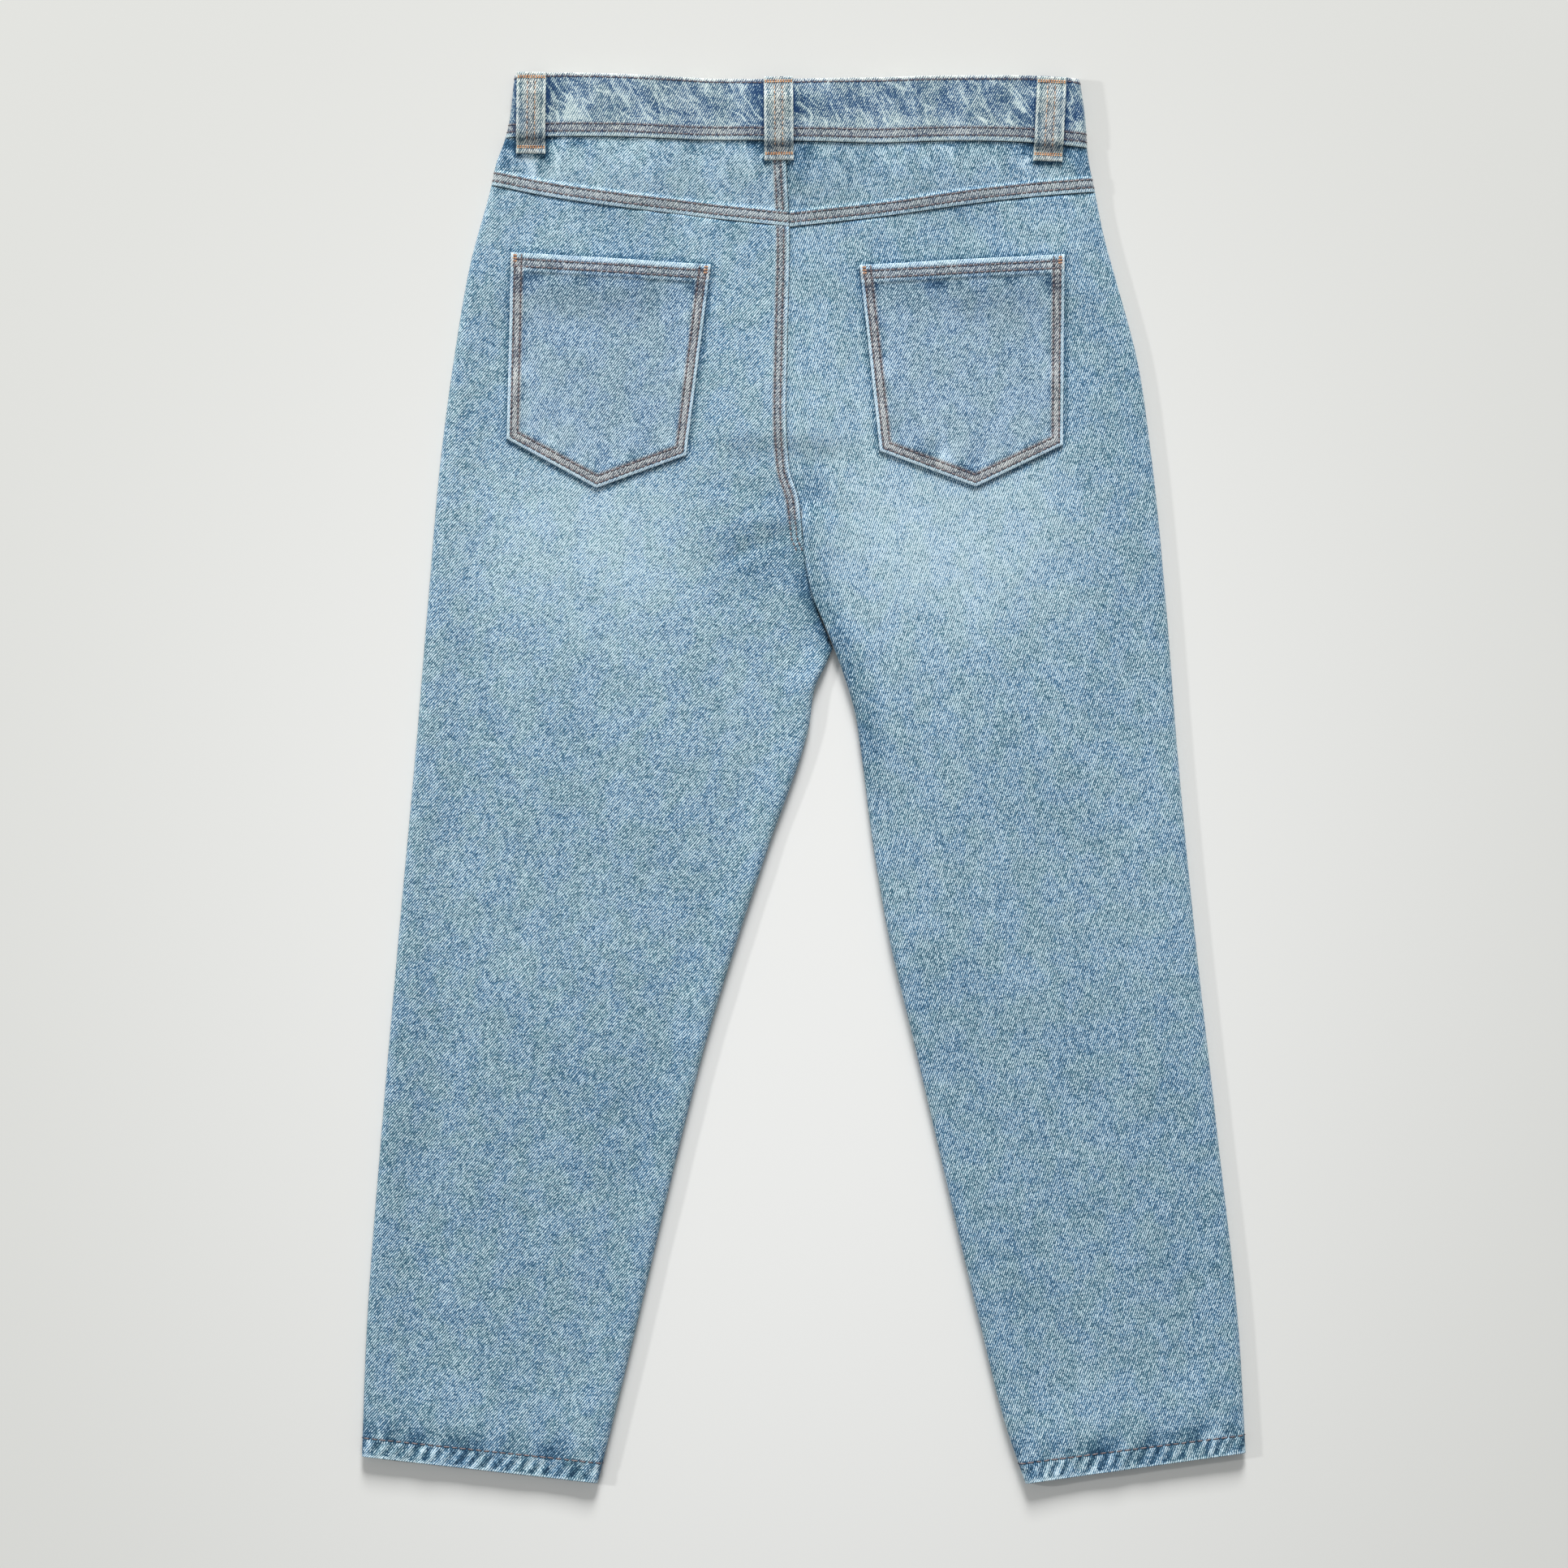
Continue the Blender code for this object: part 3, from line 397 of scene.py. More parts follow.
def leg_top(x, y, side):
    """The outer face of a back leg: the lie of the back cloth, with its folds, puckers and roped hem."""
    inset = np.minimum(x - SIDE["left"](y), SIDE["right"](y) - x)
    flat = smooth((inset - EDGE_ROUND) / (14 * MM)) * smooth(np.abs(x - seat_x(y)) / (16 * MM))
    from_yoke, from_hem = YOKE_SEAM[side](x) - y, y - hem_line(x)
    slant = {"left": 0.9, "right": 0.4}[side]
    soft = 0.35 * (1 + ripple(x, y, 75 * MM, 3)) + 0.1 * ripple(x, y, 17 * MM, 4) + creases(x, y)
    drawn = puckers(x, from_yoke, 8 * MM, 7 * MM, 5) + puckers(x, from_hem - HEM_DEPTH, 9 * MM, 6 * MM, 6)
    roping = strip(from_hem, 1.5 * MM, 11 * MM, 2 * MM) * np.cos(math.tau * (x - slant * from_hem) / (7.8 * MM))
    lift = fold_lift(x, y) if side == "right" else 0.0
    return back_face(x, y) + lift + MM * (flat * (soft + 0.16 * drawn) + 0.28 * roping * smooth(inset / (9 * MM)))


def seat_strip(y):
    """How much of the seat seam's raised strip is left as it runs in under the fold."""
    return smooth((y - 150 * MM) / (18 * MM))


FELL_LINES = np.array([9.5, 8.7, 8.0, 7.6, 7.0, 6.4, 5.2, 4.1, 3.5, 2.9, 1.1, 0.0]) * MM


def curl(height, half_width, turn):
    """A cloth's folded edge, from the top of the fold to the cloth's end: how far out, and how far down.

    The full turn is half an ellipse and then a flat lip. A smaller turn lies between that and a flat strip.
    """
    height, half_width, turn = np.broadcast_arrays(height, half_width, turn)
    angle = np.linspace(0, math.pi, len(FELL_LINES) - 1)
    out = np.hstack([half_width * np.sin(angle), np.full(height.shape, -3.0 * MM)])
    down = np.hstack([height / 2 * (1 - np.cos(angle)), height])
    flat = FELL_LINES[0] - FELL_LINES
    return turn * out + (1 - turn) * flat, np.minimum(1.0, 1.45 * turn) * down


def folded(outer_x, inner_x, line, top, columns, turn=0.0, rounding=EDGE_ROUND, floor=0.0):
    """The rows of a cloth from its fold at the side seam to its inner edge, and each point's distance from that.

    line gives y for the x of a row's points, and top the height over x and y. The side fold goes down to the
    front face, and the inner one as far as floor, where turn is above 0.
    """
    way, width = np.sign(inner_x - outer_x), np.abs(inner_x - outer_x)

    def at(s):
        x = outer_x + way * s
        y = line(x)
        return np.stack([x, y, top(x, y)], axis=-1)

    crest = at(np.full(width.shape, EDGE_ROUND))
    out, down = curl(crest[..., 2] - front_face(crest[..., 0], crest[..., 1]), EDGE_ROUND, 1.0)
    deep = np.where(turn > 0, at(width - rounding)[..., 2] - floor, 0)
    inner_out, inner_down = curl(np.maximum(deep, 2 * DENIM + 0.3 * MM), rounding, turn)
    crest_s = width - inner_out.max(axis=1, keepdims=True)
    middle = EDGE_ROUND + (crest_s - EDGE_ROUND) * np.linspace(0, 1, columns + 2)[1:-1]
    s = np.hstack([EDGE_ROUND - out[:, ::-1], middle, crest_s + inner_out])
    grid = at(s)
    ends = len(FELL_LINES)
    grid[:, :ends, 2] = crest[..., 2] - down[:, ::-1]
    grid[:, -ends:, 2] = turn * at(crest_s)[..., 2] - inner_down + (1 - turn) * grid[:, -ends:, 2]
    return grid, width - s


faces_of = {}


def cloth(name, grid, wall, wear_and_shade, finishes, turned=0.0, face_down=False, from_below=False):
    """A closed piece of cloth from a grid of points on its outer face.

    The inner face is each point moved inwards by the wall along the normal, which is the cross product of the
    grid's two directions, and a strip of faces joins the two round the edge. The UV map is the point's place on
    the flat cloth, turned to the grain: its distance along its row, and its y. Its tone, marbling and sewn shade go
    to a colour attribute, which the denim reads; the tone holds painted shade as well as the wash.
    """
    rows, columns = grid.shape[:2]
    normal = np.cross(np.gradient(grid, axis=0), np.gradient(grid, axis=1)) * (-1 if face_down else 1)
    normal /= np.linalg.norm(normal, axis=-1, keepdims=True)
    faces_of[name] = grid, normal
    inner = grid - normal * np.broadcast_to(wall, (rows, columns))[..., None]
    index = np.arange(rows * columns).reshape(rows, columns)
    quads = np.stack([index[:-1, :-1], index[1:, :-1], index[1:, 1:], index[:-1, 1:]], axis=-1).reshape(-1, 4)
    rim = np.concatenate([index[:-1, 0], index[-1, :-1], index[:0:-1, -1], index[0, :0:-1]])
    after = np.roll(rim, -1)
    under = rows * columns
    edge = np.stack([after, rim, rim + under, after + under], axis=-1)
    faces = np.concatenate([quads, quads[:, ::-1] + under, edge])
    if face_down:
        faces = faces[:, ::-1]
    mesh = bpy.data.meshes.new(name)
    mesh.from_pydata(np.concatenate([grid.reshape(-1, 3), inner.reshape(-1, 3)]), [], faces)
    mesh.polygons.foreach_set("use_smooth", np.ones(len(faces), dtype=bool))
    kind = np.concatenate([np.zeros(len(quads)), np.full(len(quads), len(finishes) - 1), np.zeros(len(edge))])
    mesh.polygons.foreach_set("material_index", kind.astype(np.int32))
    steps = np.linalg.norm(np.diff(grid, axis=1), axis=-1)
    length = np.hstack([np.zeros((rows, 1)), np.cumsum(steps, axis=1)])
    middle = columns // 2
    way = np.sign(grid[:, middle + 1, :1] - grid[:, middle, :1]) * (-1 if from_below else 1)
    u = way * (length - length[:, middle : middle + 1]) + grid[:, middle : middle + 1, 0]
    v = grid[..., 1]
    flat = np.stack([u * math.cos(turned) + v * math.sin(turned), v * math.cos(turned) - u * math.sin(turned)], -1)
    flat = np.tile(flat.reshape(-1, 2), (2, 1))
    mesh.uv_layers.new(name="cut").data.foreach_set("uv", flat[faces.ravel()].ravel())
    shades = np.ones((2, rows * columns, 4))
    shades[:, :, :3] = np.stack(np.broadcast_arrays(*wear_and_shade, v)[:3], axis=-1).reshape(-1, 3)
    mesh.attributes.new("wear_and_shade", "FLOAT_COLOR", "POINT").data.foreach_set("color", shades.ravel())
    for finish in finishes:
        mesh.materials.append(finish.material)
    piece = bpy.data.objects.new(name, mesh)
    bpy.context.scene.collection.objects.link(piece)
    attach(piece, "root")
    return piece


def denim(name, dark, middle, pale, marble_size=1.0):
    """Washed right-hand twill: indigo warp floats in slanted ribs 1.27 mm apart over a pale weft.

    Two cosines and three noises, stretched along the ribs, the warp and the weft, add up to a tone, which runs
    from dark through middle to pale. Marbling darkens patches of it and lightens streaks between them.
    """
    made = Finish(name, 0.88, sheen=0.12)
    cut = made.node("ShaderNodeUVMap", {"uv_map": "cut"}, {})
    cut = made.node("ShaderNodeSeparateXYZ", {}, {0: cut})
    u, v = cut * 1000, cut.other(1) * 1000
    # The colour attribute read here holds the tone, with its painted shade, the marbling and the sewn shade.
    worn = made.node("ShaderNodeAttribute", {"attribute_name": "wear_and_shade"}, {})
    worn = made.node("ShaderNodeSeparateColor", {}, {0: worn})
    marble, sewn = worn.other(1), worn.other(2)
    ribs, along = u * 0.862 - v * 0.508, u * 0.508 + v * 0.862
    wobble = made.noise(u * 0.3, v * 0.3, 1)
    ribs = ribs / 1.27 + wobble * 0.7
    rib = ribs.wave()
    row = math.floor(ribs + 0.5)
    dashes = made.cells(row, along / 1.2 + row * 0.37, 2)
    grain = made.cells(u * 1.4, v * 1.4, 4)
    slub = made.noise(u * 0.8, v * 0.17, 3, detail=2.0)
    clouds = made.noise(u * 0.11, v * 0.08, 5, detail=3.0)
    tone = 0.445 + (rib - 0.5) * (0.95 + 0.5 * dashes) + 0.52 * (dashes - 0.5) + 0.2 * (slub - 0.5)
    tone = tone + 0.7 * (grain - 0.5) + 0.22 * (clouds - 0.5) + worn
    across, down = u * 0.85 + v * 0.52, v * 0.85 - u * 0.52
    bent = made.noise(u * 0.05, v * 0.05, 9) * 1.6
    patch = made.noise(across * 0.1 / marble_size + bent, down * 0.05 / marble_size, 6, detail=2.0)
    vein = 1 - abs(made.noise(across * 0.11 / marble_size + bent, down * 0.03 / marble_size, 7) - 0.5) * 20
    tone = tone + marble * (0.8 * vein.between(0.0, 1.0) - 0.55 * patch.between(0.4, 0.62))
    hue = made.noise(u * 0.06, v * 0.045, 10, detail=3.0).between(0.38, 0.62)
    cooler, warmer = (tuple((np.array(middle) * tint).tolist()) for tint in ((0.84, 0.96, 1.1, 1), (0.97, 1.03, 0.93, 1)))
    colour = made.mix(hue, cooler, warmer)
    colour = made.mix(tone.between(-0.3, 0.62), dark, colour)
    colour = made.mix(tone.between(0.36, 1.2), colour, pale)
    colour = made.mix(sewn, colour, made.mix(tone.between(-0.1, 1.05), shown(62, 60, 68), shown(222, 218, 210)))
    made.give("Base Color", colour)
    made.give("Roughness", 0.94 - 0.1 * tone.between(0.1, 0.9))
    made.bump(0.45 * rib + 0.35 * dashes + 0.3 * slub, 0.16 * MM)
    return made


leg_denim = denim("denim", shown(28, 64, 92), shown(118, 160, 184), shown(222, 241, 249))
inside_denim = denim("denim_inside", shown(122, 136, 150), shown(170, 182, 191), shown(208, 216, 220))


POCKET = {
    "left": ((-180.5, 324.2), (-57.3, 316.8), (-72.6, 199.2), (-127.9, 179.0), (-183.3, 209.4)),
    "right": ((34.4, 316.6), (160.7, 322.9), (159.8, 205.6), (106.2, 179.8), (46.9, 201.8)),
}


def from_pocket(x, y, side):
    """How far a place is outside the back pocket: the largest of its distances beyond the five edges."""
    corners = np.array(POCKET[side]) * MM
    beyond = -1.0
    for (ax, ay), (bx, by) in zip(corners, np.roll(corners, -1, axis=0)):
        beyond = np.maximum(beyond, ((bx - ax) * (y - ay) - (by - ay) * (x - ax)) / math.hypot(bx - ax, by - ay))
    return beyond


def fading_and_shade(x, y):
    """The back's tone, with its painted shade.

    Two pale ovals are rubbed below the pockets, the seat is paler, it grows darker towards the hems, it is mottled,
    and it rises and falls with the crotch creases' height. Painted shade lies on both sides of the right leg's fold
    over the left leg, and the crotch is darker, partly as less faded indigo and partly as painted shade.
    """
    left = ((x + 127.5 * MM) / (76 * MM)) ** 2 + ((y - 146 * MM) / (56 * MM)) ** 2
    right = ((x - 88 * MM) / (74 * MM)) ** 2 + ((y - 150 * MM) / (60 * MM)) ** 2
    ovals = 0.25 * np.exp(-(left**1.3)) + 0.32 * np.exp(-(right**1.3))
    seat = 0.1 * np.exp(-(((x - 8 * MM) / (55 * MM)) ** 2) - ((y - 235 * MM) / (60 * MM)) ** 2)
    foot = -0.1 * smooth((120 * MM - y) / (420 * MM))
    mottle = 0.022 * ripple(x, y, 60 * MM, 7) + 0.02 * ripple(x, y, 22 * MM, 8)
    fold_x = np.where(y > CROTCH, seat_seam(y), INSEAM["right"](y))
    # Painted shadow on the left leg where it runs in under the right leg's fold.
    tucked = near(fold_x - x - 1 * MM, 11 * MM) * (x < fold_x) * smooth((150 * MM - y) / (40 * MM))
    # Painted shade on the right leg along the edge of its fold.
    shaded = near(x - fold_x - 4 * MM, 18 * MM) * (x > fold_x) * smooth((175 * MM - y) / (60 * MM))
    shaded = shaded * smooth((y + 40 * MM) / (70 * MM))
    # The crotch is darker: partly less faded indigo, partly painted shade.
    crotch_indigo_and_shade = np.exp(-(((x + 22 * MM) / (40 * MM)) ** 2) - ((y - 142 * MM) / (34 * MM)) ** 2) * (x < fold_x)
    crotch_indigo_and_shade = crotch_indigo_and_shade + 1.3 * np.exp(-(((x - 3 * MM) / (11 * MM)) ** 2) - ((y - 174 * MM) / (20 * MM)) ** 2) * (x > fold_x)
    return ovals + seat + foot + mottle + 0.09 * creases(x, y) - 0.6 * tucked - 0.28 * shaded - 0.22 * crotch_indigo_and_shade


HEM_LINES = np.array([
    36, 33, 30, 27.5, 25, 23, 21, 19, 17.5, 16, 14.8, 13.9, 13.2, 12.7, 12.3, 11.9, 11.4, 10.6, 9.6, 8.6, 7.6, 6.6,
    5.6, 4.6, 3.6, 2.6, 1.8, 1.1, 0.5, 0.0,
]) * MM


def leg(side):
    """A back leg's points, in rows from its side fold to the seat seam or the inseam, and from the yoke down."""
    low, seam, left = HEM_Y[side], YOKE_SEAM[side], side == "left"
    top_y = float(seam(seat_seam(340 * MM)) - SEAM_GAP)
    y = np.concatenate([np.linspace(top_y, 60 * MM, 141), np.linspace(56 * MM, low + 39 * MM, 110), low + HEM_LINES])
    y = y[:, None]
    outer_y = y + SKEW[side](y)
    outer_y[0] = seam(SIDE[side](365 * MM)) - SEAM_GAP
    outer_x = SIDE[side](outer_y)
    if left:
        tucked = 3 * MM * smooth((150 * MM - y) / (12 * MM)) * smooth((y - 100 * MM) / (20 * MM))
        seam_x = seat_seam(y) - SEAM_GAP / 2 + tucked - 0.5 * MM * smooth((122 * MM - y) / (20 * MM))
        turn, rounding, floor = smooth((93 * MM - y) / (20 * MM)), EDGE_ROUND, 0.0
    else:
        seam_x = seat_seam(y) + SEAM_GAP / 2
        turn, parted = smooth((175 * MM - y) / (22 * MM)), smooth((92 * MM - y) / (24 * MM))
        rounding = 1.5 * MM + (EDGE_ROUND - 1.5 * MM) * parted
        floor = (back_face(seam_x, y) + LAY_GAP + FELL_RISE * seat_strip(y)) * (1 - parted)
    inner_x = np.where(y <= CROTCH, INSEAM[side](y), seam_x)
    bowed = smooth((y - 250 * MM) / (90 * MM))

    def line(x):
        t = (x - outer_x) / (inner_x - outer_x)
        chord = seam(outer_x) * (1 - t) + seam(inner_x) * t
        return outer_y * (1 - t) + y * t + bowed * (seam(x) - chord)

    grid, from_edge = folded(outer_x, inner_x, line, lambda x, y: leg_top(x, y, side), 118, turn, rounding, floor)
    felled = (1 - turn) * seat_strip(y) * near(from_edge - 8 * MM, 1.5 * MM) * (1 if left else 0)
    sunk = ditches(from_edge, 3.5, 7.0) * felled + ditches(y - low, 12.3)
    grid[..., 2] += FELL_RISE * felled - 0.14 * MM * sunk
    wall = DENIM + FELL_RISE * felled + DENIM * strip(y, low, low + HEM_DEPTH, 1.2 * MM)
    return grid, wall, np.where(turn < 1, from_edge, 1.0), felled, sunk


for side in ("left", "right"):
    grid, wall, from_edge, felled, sunk = leg(side)
    x, y = grid[..., 0], grid[..., 1]
    from_yoke, from_hem = YOKE_SEAM[side](x) - y, y - hem_line(x)
    slant = {"left": 0.4, "right": 0.3}[side]
    rope = np.cos(math.tau * ((x - slant * from_hem) / (7.8 * MM) + 0.3 * ripple(x, y, 26 * MM, 9)))
    rope = rope * (0.75 + 0.35 * ripple(x, y, 9 * MM, 10))
    outer_side = smooth((x - 150 * MM) / (40 * MM)) * smooth((y + 60 * MM) / (200 * MM))
    tone = fading_and_shade(x, y) - 0.07 * outer_side + 0.1 * puckers(x, from_yoke, 8 * MM, 7 * MM, 5)
    # A painted shadow round the pocket's outline on the leg.
    tone = tone - 0.42 * near(from_pocket(x, y, side) - 0.9 * MM, 3.2 * MM)
    tone = tone + 0.3 * puckers(x, from_hem - HEM_DEPTH, 9 * MM, 9 * MM, 6) * (from_hem > 11 * MM)
    tone = tone + (0.6 * rope - 0.12) * strip(from_hem, 2 * MM, 11.5 * MM, 2 * MM) + 0.4 * near(from_hem - 1 * MM, 1.4 * MM)
    tone = tone - 0.14 * strip(from_hem, 13 * MM, 22 * MM, 9 * MM)
    # Just below the yoke's edge a dark line: partly painted shadow of the yoke's raised strip, partly a darker dye
    # line.
    tone = tone + 0.4 * felled * near(from_edge - 0.8 * MM, 1.2 * MM) - 0.28 * near(from_yoke - 0.8 * MM, 1.6 * MM)
    # Painted shade along the ditches of the stitch rows.
    tone = tone - 0.5 * sunk
    marble = 0.12 * near(from_yoke, 26 * MM) + 0.35 * near(from_hem - HEM_DEPTH, 14 * MM)
    sewn = 0.6 * felled * strip(from_edge, 2.2 * MM, 8.4 * MM)
    back = cloth(
        f"denim_back_{side}", grid, wall, (tone, marble, sewn), [leg_denim, inside_denim], GRAIN[side], side == "right"
    )
    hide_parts(f"back_{side}")


# The back pockets. Each is a five-sided patch of the same denim, hemmed at its mouth, with its other edges turned
# under and sewn down in two rows near the edge. The mouth stands a little open between its corners.
pocket_denim = denim("denim_pocket", shown(28, 62, 94), shown(126, 160, 184), shown(218, 238, 248))


def pocket_point(side, u, v):
    """A place on the pocket, with u from its left edge to its right one and v from its mouth to its lower edges.

    The mouth is a straight line and the lower edges are two, which meet at the tip where u is a half.
    """
    top_left, top_right, low_right, tip, low_left = np.array(POCKET[side]) * MM
    u, v = u[..., None], v[..., None]
    lower = np.where(u < 0.5, low_left + (tip - low_left) * 2 * u, tip + (low_right - tip) * (2 * u - 1))
    return top_left + (top_right - top_left) * u + (lower - top_left - (top_right - top_left) * u) * v


def pocket_insets(side, u, v):
    """How far a place on the pocket is from its side edges, its lower edges and its mouth."""
    width = pocket_point(side, u * 0 + 1, v) - pocket_point(side, u * 0, v)
    depth = pocket_point(side, u, v * 0) - pocket_point(side, u, v * 0 + 1)
    return np.minimum(u, 1 - u) * width[..., 0], (1 - v) * depth[..., 1] * 0.885, v * depth[..., 1]


EDGE_LINES = np.array([0, 0.4, 1.0, 1.6, 2.1, 2.5, 2.9, 3.4, 4.4, 5.6, 6.2, 6.6, 7.0, 7.6, 8.6, 9.8]) * MM
MOUTH_LINES = np.array([0, 0.4, 1.2, 2.4, 3.4, 3.9, 4.4, 5.4, 6.8, 7.8, 8.3, 8.8, 9.8, 10.8, 11.6, 12.4]) * MM


def pocket_lines(side):
    """The u and v of a pocket's points, whose lines near its edges lie at the distances of its rows of stitches."""
    inward = np.linspace(0, 1, 74)[None, 1:-1]
    wide, _, _ = pocket_insets(side, np.array(0.5), np.array(0.45))
    first = EDGE_LINES[None, :] / (2 * wide)
    u = np.hstack([first, first[:, -1:] + (1 - 2 * first[:, -1:]) * inward, 1 - first[:, ::-1]])
    _, deep, tall = pocket_insets(side, u, u * 0 + 0.5)
    top, low = MOUTH_LINES[:, None] / (2 * tall), 1 - EDGE_LINES[::-1, None] / (2 * deep)
    v = np.vstack([top, top[-1:] + (low[:1] - top[-1:]) * inward.T, low])
    wide, _, _ = pocket_insets(side, v * 0 + 0.5, v)
    first = EDGE_LINES[None, :] / (2 * wide[:, :1])
    return np.hstack([first, first[:, -1:] + (1 - 2 * first[:, -1:]) * inward, 1 - first[:, ::-1]]), v


for side in ("left", "right"):
    u, v = pocket_lines(side)
    x, y = np.moveaxis(pocket_point(side, u, v), -1, 0)
    beside, below, from_mouth = pocket_insets(side, u, v)
    inset = np.minimum(beside, below)
    hemmed = near(from_mouth - 11 * MM, 1.2 * MM)
    turned_in = near(inset - 9.5 * MM, 2.0 * MM)
    mouth = 0.9 * MM * near(v - 0.085, 0.3) * np.sin(math.pi * u) ** 2
    drawn = puckers(y, beside - 8 * MM, 9 * MM, 6 * MM, 21) + puckers(x, below - 8 * MM, 9 * MM, 8 * MM, 22)
    drawn = drawn * smooth((inset - 1 * MM) / (6 * MM)) * smooth((from_mouth - 4 * MM) / (8 * MM))
    soft = (0.12 * (1 + ripple(x, y, 34 * MM, 23)) + 0.2 * drawn) * smooth(inset / (5 * MM)) * (1 - hemmed)
    rounded = 0.35 * near(inset, 1.4 * MM) + 0.25 * near(from_mouth, 1.2 * MM)
    lift = LAY_GAP + DENIM + 0.8 * MM * hemmed + mouth + MM * (soft + 0.3 * turned_in * (1 - hemmed) - rounded)
    sunk = ditches(inset, 2.5, 6.6) * (from_mouth > 2 * MM) + ditches(from_mouth, 3.9, 8.3) * (beside > 1.5 * MM)
    z = leg_top(x, y, side) + lift - 0.14 * MM * sunk
    grid = np.stack([x, y, z], axis=-1)
    blotches = np.maximum(ripple(x, y, 9 * MM, 24), 0)
    # The sunk term paints shade along the ditches of the stitch rows.
    tone = 0.03 * ripple(x, y, 40 * MM, 25) + 0.24 * drawn + 0.06 * near(np.abs(v - 0.8), 0.4) - 0.5 * sunk
    tone = tone - 0.12 * strip(from_mouth, 12 * MM, 28 * MM, 12 * MM)
    tone = tone + 0.6 * near(inset - 1.3 * MM, 0.8 * MM) + 0.45 * near(from_mouth - 2.3 * MM, 1.2 * MM)
    tone = tone - 0.3 * blotches * strip(from_mouth, 11.5 * MM, 17 * MM, 5 * MM) * (inset > 8 * MM)
    tone = tone - 0.2 * strip(inset, 7.6 * MM, 10 * MM, 1.6 * MM) * (from_mouth > 11 * MM)
    corner = near(np.hypot(beside - 4 * MM, from_mouth - 14 * MM), 14 * MM)
    tone = tone - 0.3 * corner * (from_mouth > 11 * MM)
    sewn = 0.7 * strip(inset, 1.9 * MM, 7.7 * MM) * (from_mouth > 3 * MM)
    sewn = np.maximum(sewn, 0.5 * strip(from_mouth, 3.2 * MM, 9.2 * MM))
    marble = 0.15 * near(inset - 8 * MM, 9 * MM) + 0.2 * strip(from_mouth, 0, 12 * MM)
    wall = DENIM + 0.8 * MM * hemmed
    turned = {"left": math.radians(-6.5), "right": math.radians(0.5)}[side]
    pocket = cloth(f"denim_pocket_{side}", grid, wall, (tone, marble, sewn), [pocket_denim], turned)
    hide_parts(f"pocket_{side}")


# The back yoke. Two slanting strips of denim join the back legs to the waistband. Their lower edges are felled over
# the legs with two rows, and the left one is felled over the right one at the seat.
BACK_LOOPS = {
    "back_left": (-167.7, 434.9, -168.2, 384.8),
    "back_centre": (-15.7, 431.8, -15.2, 380.4),
    "back_right": (152.8, 432.0, 150.3, 380.2),
}


def loop_painted_shadow(x, y):
    """The painted shadow round a belt loop: 1 along its sides and its lower end."""
    shade = 0.0
    for top_x, top_y, low_x, low_y in BACK_LOOPS.values():
        middle = low_x * MM + (y - low_y * MM) * (top_x - low_x) / (top_y - low_y)
        outside = np.maximum(np.abs(x - middle) - 9 * MM, low_y * MM - y)
        shade = np.maximum(shade, near(outside - 0.9 * MM, 2.0 * MM))
    return shade


def yoke_top(x, y):
    """The outer face of the yoke, with the raised strip of its lower seam."""
    low = np.where(x < seat_x(y), YOKE_SEAM["left"](x), YOKE_SEAM["right"](x))
    inset = np.minimum(x - SIDE["left"](y), SIDE["right"](y) - x)
    flat = smooth((inset - EDGE_ROUND) / (14 * MM))
    above, below = y - low, waist_seam(x) - y
    soft = 0.12 * (1 + ripple(x, y, 30 * MM, 31)) * smooth(above / (12 * MM)) * smooth(below / (8 * MM))
    drawn = puckers(x, below, 9 * MM, 6 * MM, 32) + puckers(x, above - 9 * MM, 8 * MM, 5 * MM, 33)
    drawn = drawn * smooth(above / (9 * MM) - 0.6)
    felled = near(above - 8.5 * MM, 1.5 * MM) - 0.3 * near(above, 1.3 * MM)
    return back_face(x, y) + FELL_RISE * felled * smooth(inset / (6 * MM)) + MM * flat * (soft + 0.14 * drawn)


YOKE_LINES = np.array([0, 0.4, 1.2, 2.0, 2.4, 2.9, 3.4, 4.2, 5.4, 6.6, 7.2, 7.7, 8.2, 8.8, 9.4, 10.2, 11.4, 12.6]) * MM
YOKE_PARTS = np.append(np.linspace(0, 0.97, 25)[1:], [0.985, 1.0])


def yoke_rows(low, high):
    """The y of the yoke's rows: at the strip's distances above its lower edge, and then in even parts up to high."""
    strip_rows = np.concatenate([YOKE_LINES, np.full(YOKE_PARTS.shape, YOKE_LINES[-1])])[:, None]
    upper_part = np.concatenate([0 * YOKE_LINES, YOKE_PARTS])[:, None]
    return low + strip_rows + upper_part * (high - low - YOKE_LINES[-1])


